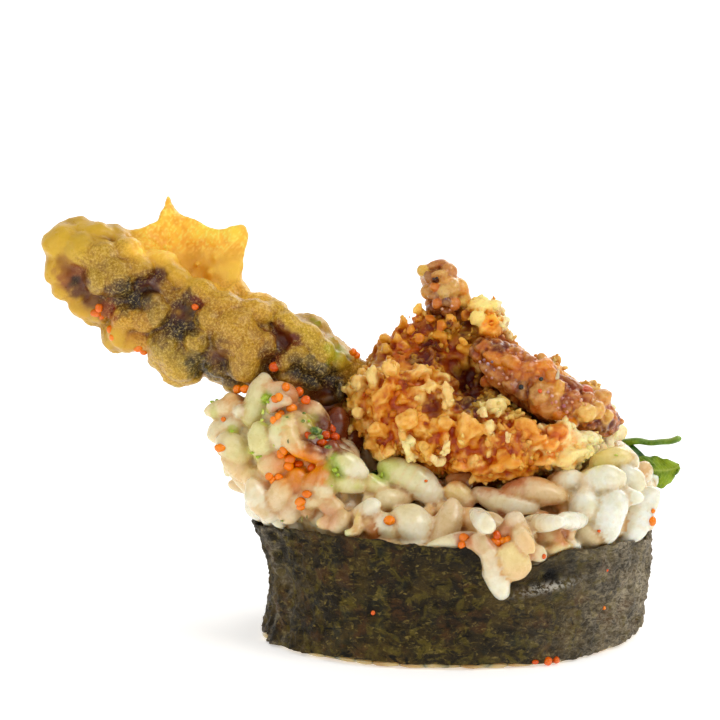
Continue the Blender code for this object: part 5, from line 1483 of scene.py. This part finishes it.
def build_leg():
    core = [(x, y, z, r - 0.95) for x, y, z, r in LEG_SPINE]
    lobes = [(-29.2, -4.1, 38.3, 2.7, 2.1, 2.7), (-32.4, -3.6, 42.0, 2.2), (-35.0, -2.4, 44.6, 2.8, 2.2, 3.0),
             (-35.2, -2.2, 49.3, 3.2, 2.2, 2.9), (-31.0, -2.2, 48.4, 3.2, 2.4, 3.2), (-27.6, -2.0, 47.2, 2.8, 2.4, 3.0),
             (-16.6, -3.4, 33.9, 3.2, 2.4, 2.4), (-21.8, -3.4, 34.4, 3.0, 2.4, 2.9), (-6.8, -2.6, 37.6, 3.4, 2.6, 2.9)]
    shell = joined(chain(core), ellipsoids(lobes), fin_mesh())
    shell = (shell[0] + SHIFT, shell[1])
    fc, fa, fr, ft = in_view(LEG_LUMPS, leg_skin, 0.8)
    # batter on the top, the underside and the back
    pts, nrm = leg_skin.scatter(900)
    facing = nrm @ -ray(200, 320)
    other = (facing < 0.3) & ~((pts[:, 2] > 43.5) & (pts[:, 0] > -31.0) & (pts[:, 0] < -11.0))
    other &= pts[:, 0] < -6.0
    pts, nrm = pts[other][:110], nrm[other][:110]
    r = rng.uniform(1.3, 2.3, len(pts))
    shell = joined(shell, craggy(fc - fa[:, 2] * 0.25, fa, fr * (1.12, 1.12, 1.0), 0.16, 17),
                   shards(pts - nrm * (r * 0.86)[:, None], r[:, None] * rng.uniform(0.8, 1.2, (len(pts), 3)), 0.12, BALL3))
    pts, nrm = leg_skin.scatter(300)
    r = rng.uniform(0.25, 0.6, len(pts))
    shell = joined(shell, shards(pts - nrm * (r * 0.7 + 0.25)[:, None], r[:, None] * rng.uniform(0.6, 1.3, (len(pts), 3))))
    voxel = 0.265
    v, f = remeshed(*shell, voxel)
    v = relax(v, f, 11, 0.5)
    n = normals_of(v, f)
    clear = np.zeros(len(v))
    for u, w, radius in CLEAR:
        c = spot(leg_skin, u, w)
        clear = np.maximum(clear, 1.0 - smooth(0.5, 1.15, np.linalg.norm((v - c) * (1, 0.7, 1), axis=1) / radius
                                               + 0.3 * fbm(v / 1.3, 3, 91)))
    high = smooth(46.5, 49.0, v[:, 2]) * smooth(-31.0, -27.5, v[:, 0])
    frost = np.clip(1.0 - clear - 0.7 * high, 0.08, 1.0)
    one, two, _ = cells(v / 0.75, 21)
    bumps = 0.24 * fbm(v / 1.5, 4, 23) + (0.12 * (0.55 - one) + 0.07 * fbm(v / 0.34, 2, 25)) * frost
    v = v + n * bumps[:, None]
    cav = cavity(v, f, 9, 0.14)
    broad = cavity(v, f, 45, 0.55)
    spine = np.array([(x, y, z) for x, y, z, _ in LEG_SPINE]) + SHIFT
    sr = np.array([s[3] for s in LEG_SPINE])
    best = np.full(len(v), 9.0)
    for a, b, ra, rb in zip(spine, spine[1:], sr, sr[1:]):
        ab = b - a
        t = np.clip(((v - a) @ ab) / (ab @ ab), 0, 1)
        off = v - (a + t[:, None] * ab)
        best = np.minimum(best, np.hypot(off[:, 0], off[:, 2]) / (ra + (rb - ra) * t))
    edge = smooth(0.66, 1.02, best + 0.15 * fbm(v / 2.0, 3, 27))[:, None]
    body = lin((190, 154, 80)) + (lin((166, 132, 72)) - lin((190, 154, 80))) * smooth(-0.3, 0.4, fbm(v / 3.0, 3, 29))[:, None]
    back_dark = smooth(0.05, 0.35, fbm(v / 4.2 + 31.0, 3, 37))[:, None] * (v[:, 1] > -1.5)[:, None] * (1 - edge)
    body = body * (1 - 0.75 * back_dark) + lin((84, 50, 28)) * 0.75 * back_dark
    hid, hd = nearest_lump(v, fc, fa, fr)
    w = (1.0 - smooth(0.95, 1.4, hd + 0.15 * fbm(v / 1.1, 2, 71)))[:, None] * 0.9
    colours = body * (1 - w) + ft[hid] * w
    colours = colours * (1 - 0.6 * edge) + lin((212, 178, 88)) * 0.6 * edge
    gold = high[:, None]
    warm = smooth(-0.3, 0.5, fbm(v * (1, 0.2, 1) / 2.4, 3, 39))[:, None]
    colours = colours * (1 - gold) + (lin((232, 186, 74)) * warm + lin((214, 160, 52)) * (1 - warm)) * gold
    # the dark leg shows where the batter parts
    part = (smooth(0.15, 0.85, broad) * (1 - edge[:, 0]) * (1 - high))[:, None] * 0.75
    colours = colours * (1 - part) + lin((92, 54, 28)) * part
    colours = paint(colours, v, leg_skin, LEG_DAUBS, 95, 0.55, 1.0)
    # painted shade in the small hollows
    dip = np.clip(cav, 0, 1)[:, None] * 0.55
    colours = colours * (1 - dip) + colours * lin((210, 164, 96)) * dip
    # paler on the ridges: crisp batter, and in part a painted highlight
    ridge = np.clip(-cav, 0, 1)[:, None] * 0.35
    colours = colours + (lin((240, 214, 144)) - colours) * ridge * (colours.mean(1, keepdims=True) + 0.25)
    # the foot of the sheet, paler, where it rises from the leg: cream like the sheet, and brightened here and in the
    # gain below as painted light, since the thick foot lets little light through
    sheet = (smooth(0.7, 0.9, best) * smooth(41.0, 43.0, v[:, 2]) * smooth(-7.2, -5.8, v[:, 1]) * smooth(-30.0, -27.0, v[:, 0]) * smooth(-11.0, -13.0, v[:, 0]) * (1 - high))[:, None]
    colours = colours * (1 - sheet) + (lin((236, 200, 120)) * warm + lin((220, 176, 92)) * (1 - warm)) * sheet
    # the honeycomb sparkle of fried batter in the sheet
    one, two, _ = cells(v / 0.6, 61)
    comb = (smooth(0.12, 0.02, two - one) * high)[:, None] * 0.4
    colours = colours * (1 - comb) + lin((254, 232, 160)) * comb
    # the gain on sheet is painted light on the fin's thick foot
    make("leg_long", v, f, BATTER, ("crab_leg_long",), colours=richer(colours, 1.15) * (0.99, 0.86, 0.30) * (1.0 + (0.72 * high[:, None] + 0.2 * sheet) * (0.5, 0.68, 3.2)), extra={"frost": frost})
    print("leg quads", len(f))


rng = np.random.default_rng(72)
build_leg()

# ------------------------------------------------------------ side leg and leg tip
side_skin = Skin("crab_leg_side")
tip_skin = Skin("crab_leg_tip")
SIDE_CORE = [(15.6, -5.8, 36.0, 1.6), (18.4, -6.9, 34.0, 2.2), (21.9, -7.8, 31.2, 2.4), (25.6, -7.6, 28.9, 2.4),
             (28.9, -6.1, 27.5, 2.1), (30.8, -4.4, 27.0, 1.6)]
SIDE_LUMPS = [  # u, v, width px, height px, angle, tint, proud mm
    (548, 402, 44, 36, -40, (216, 160, 96), 1.3), (540, 396, 22, 26, -20, (222, 176, 124), 1.6),
    (556, 413, 34, 15, -38, (232, 158, 40), 1.35), (570, 423, 18, 12, -20, (236, 160, 30), 1.3),
    (536, 408, 12, 14, -60, (206, 130, 56), 1.3), (565, 404, 22, 20, -30, (170, 92, 40), 1.4),
    (496, 360, 26, 13, -28, (228, 150, 30), 1.0), (512, 363, 24, 15, -20, (222, 140, 26), 1.1),
    (528, 367, 22, 15, 5, (214, 132, 26), 1.1), (544, 366, 20, 16, 20, (240, 160, 24), 1.3),
    (552, 376, 14, 16, 0, (230, 156, 60), 1.2), (542, 358, 11, 10, 0, (236, 186, 120), 1.5),
    (530, 360, 14, 8, 0, (176, 90, 30), 1.1), (559, 388, 12, 18, -30, (236, 184, 96), 1.7),
    (498, 378, 30, 18, -32, (206, 140, 86), 1.0), (486, 368, 16, 12, -20, (186, 124, 92), 1.6),
    (510, 386, 18, 14, -30, (176, 106, 64), 1.4), (522, 392, 14, 18, 0, (150, 90, 60), 1.3),
    (488, 382, 16, 14, 0, (216, 128, 60), 1.3), (572, 384, 26, 10, -32, (160, 80, 34), 1.3),
    (585, 389, 18, 9, -12, (216, 92, 36), 1.5), (574, 396, 16, 12, 0, (190, 110, 66), 1.4),
    (588, 398, 16, 12, 0, (206, 140, 90), 1.4), (602, 398, 20, 17, 0, (232, 180, 106), 1.3),
    (598, 410, 16, 18, 0, (240, 204, 136), 1.4), (586, 412, 20, 22, 40, (246, 216, 156), 1.5),
    (577, 404, 12, 12, 0, (206, 136, 60), 1.2), (608, 416, 12, 14, 0, (240, 204, 140), 1.0),
    (604, 392, 12, 8, 0, (226, 178, 110), 1.2),
]
TIP_LUMPS = [
    (423, 271, 13, 14, 0, (236, 206, 120), 0.9), (437, 264, 22, 9, 15, (196, 132, 90), 0.8), (450, 270, 18, 14, -40, (212, 156, 110), 0.9),
    (428, 277, 9, 14, 10, (166, 120, 100), 1.0), (440, 274, 18, 9, 10, (222, 178, 120), 1.2), (446, 280, 16, 7, 20, (226, 176, 110), 1.2),
    (452, 288, 20, 20, 0, (226, 190, 140), 1.1), (444, 292, 14, 14, 0, (232, 204, 160), 1.3), (435, 287, 11, 9, 0, (222, 134, 56), 1.2),
    (427, 292, 14, 16, 0, (222, 176, 120), 0.9), (462, 288, 14, 20, 20, (240, 190, 116), 0.8), (465, 300, 12, 18, 0, (242, 212, 136), 0.7),
    (437, 304, 11, 12, 0, (222, 140, 30), 1.5), (447, 302, 11, 10, 0, (150, 104, 92), 1.3), (455, 304, 12, 14, 0, (226, 150, 90), 1.1),
    (429, 304, 10, 10, 0, (206, 150, 96), 0.9), (436, 309, 22, 13, 0, (150, 84, 46), 0.3), (448, 312, 18, 12, -30, (206, 140, 84), 0.8), (434, 296, 14, 6, 10, (190, 150, 126), 1.2),
]
# beads of shell and oil on the legs: u, v, diameter px, tint
BEADS = [
    (521, 387, 5.5, (20, 20, 20)), (541, 379, 4.5, (26, 30, 24)), (540, 391, 4.5, (226, 88, 20)), (434, 279, 3.5, (50, 26, 16)),
    (437, 278, 3.0, (54, 30, 20)), (552, 396, 3.5, (206, 160, 150)), (548, 392, 3.0, (190, 140, 130)), (556, 402, 3.5, (206, 150, 140)),
    (562, 398, 3.0, (176, 120, 110)), (564, 406, 4.0, (166, 100, 110)), (558, 408, 3.0, (206, 150, 130)), (572, 402, 3.0, (216, 160, 130)),
    (552, 403, 3.0, (196, 130, 110)), (567, 412, 3.5, (200, 140, 120)), (480, 362, 3.0, (200, 160, 160)), (484, 360, 3.0, (150, 110, 110)),
    (488, 364, 3.5, (190, 160, 170)), (492, 362, 3.0, (120, 96, 110)), (486, 370, 3.0, (216, 170, 160)), (494, 370, 3.0, (170, 120, 110)),
    (499, 368, 3.0, (206, 160, 140)), (503, 374, 3.0, (176, 120, 100)), (507, 378, 3.5, (196, 140, 110)), (512, 374, 3.0, (180, 130, 90)),
    (511, 384, 3.0, (190, 140, 120)), (516, 380, 3.0, (150, 100, 80)), (499, 384, 3.0, (226, 170, 140)), (492, 378, 3.0, (206, 150, 140)),
    (487, 376, 3.0, (226, 150, 120)), (578, 394, 3.0, (206, 150, 120)), (581, 400, 3.5, (216, 170, 150)), (586, 404, 3.0, (226, 170, 130)),
    (570, 390, 3.0, (150, 96, 80)), (566, 384, 3.0, (176, 120, 90)), (593, 400, 3.0, (226, 176, 130)), (590, 394, 3.0, (200, 120, 80)),
    (446, 299, 3.0, (130, 96, 100)), (452, 306, 3.0, (226, 170, 150)), (442, 309, 3.0, (220, 170, 140)), (450, 310, 2.6, (190, 130, 100)),
    (508, 350, 3.0, (176, 110, 80)), (512, 346, 3.0, (190, 140, 100)), (516, 354, 3.0, (150, 90, 60)),
]


def pimply(name, shell, lumps, skin, node, base, dark, count, size, voxel, crag, rounds, sunk):
    fc, fa, fr, ft = in_view(lumps, skin, 0.8)
    pts, nrm = skin.scatter(count)
    r = rng.uniform(size * 0.45, size, count)
    parts = [shell] if shell is not None else []
    skin_v, skin_f = remeshed(skin.v, skin.f, 0.5, 2)
    skin_v = skin_v - normals_of(skin_v, skin_f) * 0.42
    parts.append((skin_v, np.concatenate([skin_f[:, [0, 1, 2]], skin_f[:, [0, 2, 3]]])))
    parts.append(shards(pts - nrm * (r * 0.45 + 0.22)[:, None], r[:, None] * rng.uniform(0.6, 1.25, (count, 3)), 0.2, BALL2))
    parts.append(craggy(fc - fa[:, 2] * sunk, fa, fr, crag, 19))
    v, f = remeshed(*joined(*parts), voxel)
    v = relax(v, f, rounds, 0.45)
    n = normals_of(v, f)
    v = v + n * (0.05 * fbm(v / 0.9, 3, 43) + 0.02 * fbm(v / 0.3, 2, 45))[:, None]
    colours = lin(base) + (lin(dark) - lin(base)) * smooth(-0.15, 0.35, fbm(v / 1.7, 3, 47))[:, None]
    hid, hd = nearest_lump(v, fc, fa, fr)
    w = (1.0 - smooth(0.95, 1.35, hd + 0.15 * fbm(v / 0.8, 2, 71)))[:, None] * 0.92
    colours = colours * (1 - w) + ft[hid] * w
    mottle = fbm(v / 0.8, 3, 49)[:, None]
    colours = np.where(mottle > 0, colours + (lin((250, 210, 150)) - colours) * mottle * 0.45,
                       colours * (1 + mottle * 0.9 * lin((90, 170, 220))))
    cav = cavity(v, f, 6, 0.10)
    # painted shade in the small hollows
    dip = np.clip(cav, 0, 1)[:, None] * 0.75
    colours = colours * (1 - dip) + colours * lin((206, 140, 66)) * dip
    # paler on the ridges: crisp batter, and in part a painted highlight
    ridge = np.clip(-cav, 0, 1)[:, None] * 0.35
    colours = colours + (lin((250, 220, 170)) - colours) * ridge
    make(name, v, f, LEGSKIN, (node,), colours=richer(colours, 1.22) * (0.86, 0.77, 0.58))
    print(name, "quads", len(f))


pimply("leg_side", (chain(SIDE_CORE)[0] + SHIFT, chain(SIDE_CORE)[1]), SIDE_LUMPS, side_skin, "crab_leg_side",
       (206, 126, 40), (136, 68, 30), 1300, 0.46, 0.2, 0.2, 1, 0.7)
pimply("leg_tip", None, TIP_LUMPS, tip_skin, "crab_leg_tip", (220, 172, 112), (184, 124, 76), 60, 0.35, 0.17, 0.08, 6, 0.4)


def build_beads():
    tv, tf = BALL2
    verts, colours = [], []
    for k, (u, v, size, tint) in enumerate(BEADS):
        skin = tip_skin if v < 315 and u < 470 else side_skin
        p, n = skin.hit(u, v)
        radius = size / (FOCAL / 350.0) / 2.0
        dent = 1.0 + 0.12 * vnoise(tv * 1.6 + k * 4.1, 8)
        verts.append(p - ray(u, v) * 1.35 + tv * dent[:, None] * radius)
        colours.append(np.tile(lin(tint), (len(tv), 1)))
    # the thin horn
    for s in np.linspace(0.0, 1.0, 9):
        p = spot(side_skin, 557, 378) - ray(557, 378) * 0.4
        p = p + UP * (1.4 * s) + RIGHT * (0.28 * s)
        verts.append(p + tv * (0.26 * (1.0 - 0.85 * s) + 0.02))
        colours.append(np.tile(lin((240, 206, 160)), (len(tv), 1)))
    faces = (tf[None] + (np.arange(len(verts)) * len(tv))[:, None, None]).reshape(-1, 3)
    make("leg_beads", np.concatenate(verts), faces, LEGSKIN, colours=np.concatenate(colours))


build_beads()


# ------------------------------------------------------------------------ leaves
def smooth_at(spine, s):
    n = len(spine) - 1
    g = min(max(s * n, 0.0), n - 1e-6)
    i = int(g)
    t = g - i
    p = [spine[min(max(i + k, 0), n)] for k in (-1, 0, 1, 2)]
    return np.array([0.5 * (2 * b + (c - a) * t + (2 * a - 5 * b + 4 * c - d) * t * t + (3 * b - a - 3 * c + d) * t ** 3)
                     for a, b, c, d in zip(*p)])


def sheet(place, nu, nv, thick):
    """A closed thin sheet from place(u, v), with its two sides thick apart, and its u, v."""
    u, v = np.meshgrid(np.linspace(0, 1, nu), np.linspace(0, 1, nv))
    u, v = u.ravel(), v.ravel()
    mid = np.array([place(a, b) for a, b in zip(u, v)])
    idx = np.arange(nu * nv).reshape(nv, nu)
    q = np.stack([idx[:-1, :-1], idx[:-1, 1:], idx[1:, 1:], idx[1:, :-1]], -1).reshape(-1, 4)
    n = normals_of(mid, q)
    taper = (np.minimum(1.0, np.minimum(u, 1 - u) * 8.0 + 0.25))[:, None]
    verts = np.concatenate([mid + n * thick / 2 * taper, mid - n * thick / 2 * taper])
    k = nu * nv
    faces = [q, q[:, ::-1] + k]
    for line, flip in ((idx[0], True), (idx[-1], False), (idx[:, 0], False), (idx[:, -1], True)):
        g = np.stack([line[:-1], line[1:], line[1:] + k, line[:-1] + k], 1)
        faces.append(g if flip else g[:, ::-1])
    return verts, np.concatenate(faces), np.tile(u, 2), np.tile(v, 2)


BLADE = [(25.2, 6.6, 0.2, 4.0), (25.8, 6.8, 8.0, 4.2), (28.4, 7.0, 15.0, 4.0), (31.8, 6.8, 19.0, 3.6), (34.2, 6.2, 20.0, 3.2),
         (36.2, 5.6, 19.3, 3.6), (38.2, 5.0, 19.1, 4.1), (39.7, 4.5, 19.4, 2.8), (40.5, 4.2, 19.8, 0.7)]


def blade_place(u, v):
    x, y, z, width = smooth_at(BLADE, v)
    low = np.array((0.10, 1.0, -0.20))
    high = np.array((-0.15, 0.30, 0.94))
    w = max(0.0, 1.0 - 2.2 * v)
    across = high * (1 - w) + low * w
    across /= np.linalg.norm(across)
    cup = np.array((0.35, -0.2, 0.2)) * (1.0 - 4.0 * (u - 0.5) ** 2)
    tooth = 1.0 + 0.05 * math.sin(v * 60.0) * abs(2 * u - 1) ** 3
    ripple = np.array((0.0, 0.25, 0.0)) * math.sin(v * 30.0 + u * 5.0) * abs(2 * u - 1)
    return np.array((x, y, z)) + across * (u - 0.5) * width * tooth + cup + ripple + SHIFT


def build_leaves():
    v, f, a, b = sheet(blade_place, 25, 160, 0.42)
    vein = np.exp(-(((a - 0.5) / 0.035) ** 2))
    side = (np.abs(((b * 26.0 + np.abs(a - 0.5) * 5.0) % 1.0) - 0.5) < 0.07) * 0.5
    leaf = leaf_material("leaf_bright", (88, 124, 4), (148, 176, 16), (186, 204, 92))
    make("leaf_right", v, f, leaf, ("leaf_blade",), extra={"vein": np.clip(vein + side, 0, 1)})

    # the leaf's stem side, folded down from the stalk, darker
    fold = [(34.2, 8.4, 22.4, 1.0), (35.0, 7.4, 21.6, 1.5), (35.9, 6.6, 20.6, 1.8), (36.8, 5.9, 19.8, 1.6), (37.4, 5.5, 19.2, 0.9)]

    def fold_place(u, w):
        x, y, z, width = smooth_at(fold, w)
        return np.array((x, y, z)) + np.array((0.75, 0.35, 0.5)) * (u - 0.5) * width + SHIFT

    v, f, a, b = sheet(fold_place, 13, 40, 0.35)
    vein = np.exp(-(((a - 0.6) / 0.08) ** 2)) * 0.6
    dark = leaf_material("leaf_dark", (22, 62, 4), (52, 100, 10), (110, 150, 96))
    make("leaf_fold", v, f, dark, extra={"vein": vein})

    # stalk
    spine = [(28.6, 10.0, 18.8, 0.55), (32.2, 8.6, 21.6, 0.58), (35.0, 7.6, 22.7, 0.56), (37.4, 7.2, 22.6, 0.46),
             (39.6, 6.8, 22.8, 0.48), (41.3, 6.4, 23.3, 0.52)]
    ns, nr = 70, 12
    verts, vals = [], []
    for i in range(ns):
        s = i / (ns - 1)
        x, y, z, r = smooth_at(spine, s)
        d = smooth_at(spine, min(s + 0.01, 1.0))[:3] - smooth_at(spine, max(s - 0.01, 0.0))[:3]
        d /= np.linalg.norm(d)
        e1 = np.cross(d, (0, 1, 0))
        e1 /= np.linalg.norm(e1)
        e2 = np.cross(d, e1)
        cap = min(1.0, 0.35 + 12.0 * min(s, 1 - s))
        for j in range(nr):
            t = 2 * math.pi * j / nr
            rr = r * cap * (1 + 0.08 * math.sin(9 * s * math.pi + t))
            verts.append(np.array((x, y, z)) + SHIFT + (e1 * math.cos(t) * 0.85 + e2 * math.sin(t) * 1.1) * rr)
            vals.append(max(0.0, math.cos(t)) * 0.5 * smooth(0.2, 0.9, s))
    verts = np.array(verts)
    faces = []
    for i in range(ns - 1):
        for j in range(nr):
            k = (j + 1) % nr
            a, b, c, d = i * nr + j, i * nr + k, (i + 1) * nr + k, (i + 1) * nr + j
            faces += [(a, b, c), (a, c, d)]
    ends = len(verts)
    verts = np.concatenate([verts, verts[:nr].mean(0)[None], verts[-nr:].mean(0)[None]])
    for j in range(nr):
        k = (j + 1) % nr
        faces.append((ends, k, j))
        faces.append((ends + 1, (ns - 1) * nr + j, (ns - 1) * nr + k))
    stalk = leaf_material("stalk_green", (82, 124, 8), (124, 160, 30), (190, 206, 110))
    make("stalk", verts, np.array(faces), stalk, ("leaf_stalk",), extra={"vein": np.array(vals + [0.0, 0.4])})

    # dark leaf between rice and crab, front left
    foot = [np.array(p) for p in ((1.6, -2.6, 0.1), (3.4, -7.0, 0.1), (7.6, -10.8, 0.1))]
    top = [np.array(p) for p in ((-6.0, -8.6, 27.4), (-1.8, -12.0, 25.3), (3.6, -15.0, 23.5))]

    def bezier(points, u):
        a, b, c = points
        k = b * 2 - (a + c) * 0.5
        return a * (1 - u) ** 2 + k * 2 * u * (1 - u) + c * u * u

    def liner_place(u, w):
        w *= 0.90
        p = bezier(foot, u) * (1 - w) + bezier(top, u) * w
        p[2] += (0.5 * math.sin(9.0 * u) + 0.35 * math.sin(23.0 * u + 1.0)) * w
        p[0] += 0.35 * math.sin(7.0 * w + 4.0 * u) + 0.25 * math.sin(16.0 * u) * w
        p[1] -= 0.5 * w * w
        return p + SHIFT

    v, f, a, b = sheet(liner_place, 40, 70, 0.5)
    # the darkest leaf colours, with the same finish as the other leaves
    dark2 = leaf_material("leaf_darkest", (14, 34, 4), (40, 70, 8), (90, 118, 30))
    make("leaf_liner_front", v, f, dark2, ("leaf_liner",),
         extra={"vein": np.exp(-(((a * 7.0) % 1.0 - 0.5) / 0.08) ** 2) * 0.5})


build_leaves()


# ------------------------------------------------------------- herb and leaf specks
def build_specks():
    """Tiny torn flakes of green on the rice."""
    places = [(265, 398, 1.3, 0.9, "g"), (268, 402, 0.7, 0.5, "g"), (263, 412, 0.5, 0.9, "l"), (262, 420, 0.6, 0.5, "l"),
              (213, 402, 1.1, 0.5, "g"), (217, 400, 0.6, 0.4, "g"), (216, 409, 0.5, 0.9, "l"), (232, 431, 0.8, 0.5, "g"),
              (252, 453, 0.8, 0.4, "g"), (258, 457, 0.7, 0.5, "g"), (261, 456, 0.7, 0.4, "g"), (274, 445, 0.4, 0.7, "l"),
              (288, 441, 0.4, 0.8, "d"), (287, 417, 0.6, 0.3, "d"), (309, 421, 0.5, 0.5, "g"), (304, 413, 0.7, 0.4, "d"),
              (333, 458, 0.9, 0.5, "g"), (335, 470, 0.9, 0.7, "g"), (338, 475, 0.6, 0.5, "g"), (332, 486, 0.4, 0.4, "l"),
              (382, 475, 0.4, 1.0, "g"), (356, 479, 0.8, 0.3, "l"), (223, 457, 0.4, 0.6, "d"), (316, 431, 1.9, 1.4, "d"),
              (312, 437, 1.3, 0.9, "b"), (320, 437, 1.2, 0.8, "d"), (329, 447, 1.4, 0.7, "d"), (303, 421, 0.7, 0.5, "d"),
              (616, 455, 0.6, 0.4, "l"), (599, 471, 0.5, 0.3, "l"), (282, 521, 0.6, 0.3, "d"), (302, 519, 0.3, 0.9, "b"),
              (307, 517, 0.3, 0.6, "b"), (250, 507, 0.4, 0.4, "d")]
    tv, tf = BALL2
    tones = {"g": (150, 182, 10), "l": (196, 210, 90), "d": (42, 84, 8), "b": (96, 70, 30)}
    verts, colours = [], []
    for k, (u, v, w, h, kind) in enumerate(places):
        p, n = heap_skin.hit(u, v)
        lift = 1.25 if u < 300 and v < 460 else 0.9
        c = p - ray(u, v) * lift
        ragged = 1.0 + 0.35 * vnoise(tv * 2.2 + k * 3.1, 12)
        q = tv * ragged[:, None]
        verts.append(c + np.outer(q[:, 0] * w * 0.38, RIGHT) + np.outer(q[:, 1] * h * 0.38, UP)
                     + np.outer(q[:, 2] * 0.3, -ray(u, v)))
        colours.append(np.tile(lin(tones[kind]), (len(tv), 1)))
    faces = (tf[None] + (np.arange(len(places)) * len(tv))[:, None, None]).reshape(-1, 3)
    n = Nodes("green_speck").translucent(0.3, (0.5, 1.0, 0.2), 0.5)
    n.set(Specular_IOR_Level=0.5)
    n.colour(n.mix(n.span(n.noise(0.4, 2.0), 0.3, 0.7, 0.0, 0.5), n.attribute("tint"), lin((210, 214, 110))))
    n.rough(n.span(n.noise(0.5, 2.0), 0.3, 0.7, 0.25, 0.45))
    make("green_specks", np.concatenate(verts), faces, n.mat, colours=np.concatenate(colours))


build_specks()

# ----------------------------------------------------------- floor, light, camera
profile = [(-1.2, 0.0), (0.5, 0.0)] + [(0.5 + 0.5 * math.sin(a), 0.5 - 0.5 * math.cos(a))
                                       for a in np.linspace(0.05, math.pi / 2, 24)] + [(1.0, 2.0)]
verts = [(x * 1000.0, y * 1000.0, z * 1000.0 - 0.02) for y, z in profile for x in (-2.0, 2.0)]
faces = [(2 * i, 2 * i + 1, 2 * i + 3, 2 * i + 2) for i in range(len(profile) - 1)]
floor_mesh = bare_mesh("floor", np.array(verts), np.array(faces))
floor_mesh.shade_smooth()
floor = bpy.data.objects.new("floor", floor_mesh)
scene.collection.objects.link(floor)
n = Nodes("floor_white")
n.set(Roughness=0.85, Specular_IOR_Level=0.1, Emission_Color=(1.0, 1.0, 1.0, 1.0), Emission_Strength=0.42)
n.colour(n.mix(n.span(n.noise(400.0, 2.0), 0.3, 0.7), (0.90, 0.90, 0.90), (0.92, 0.92, 0.92)))
floor_mesh.materials.append(n.mat)

world = bpy.data.worlds.new("studio")
world.use_nodes = True
world.node_tree.nodes["Background"].inputs["Color"].default_value = (1.0, 1.0, 1.0, 1.0)
world.node_tree.nodes["Background"].inputs["Strength"].default_value = 0.46
scene.world = world


def lamp(name, place, aim, size, watts, colour=(1, 1, 1)):
    data = bpy.data.lights.new(name, "AREA")
    data.shape = "DISK"
    data.size = size
    data.energy = watts
    data.color = colour
    obj = bpy.data.objects.new(name, data)
    obj.location = place
    obj.rotation_euler = (Vector(aim) - Vector(place)).to_track_quat("-Z", "Y").to_euler()
    scene.collection.objects.link(obj)
    return obj


lamp("key", (0.42, -0.32, 0.52), (0.0, 0.0, 0.02), 0.40, 2.0, (1.0, 0.965, 0.90))
lamp("fill", (-0.5, -0.42, 0.28), (0.0, 0.0, 0.02), 0.6, 0.95, (1.0, 0.97, 0.92))
lamp("rim", (0.30, 0.45, 0.40), (0.0, 0.0, 0.02), 0.4, 1.1, (1.0, 0.98, 0.94))

camera = bpy.data.cameras.new("camera")
camera.sensor_width = 36.0
camera.lens = FOCAL / 720.0 * 36.0
camera.clip_start, camera.clip_end = 0.01, 20.0
cam = bpy.data.objects.new("camera", camera)
cam.location = EYE * 0.001
cam.rotation_euler = (math.radians(90.0) - TILT, 0.0, 0.0)
scene.collection.objects.link(cam)
scene.camera = cam
scene.view_settings.view_transform = "Standard"
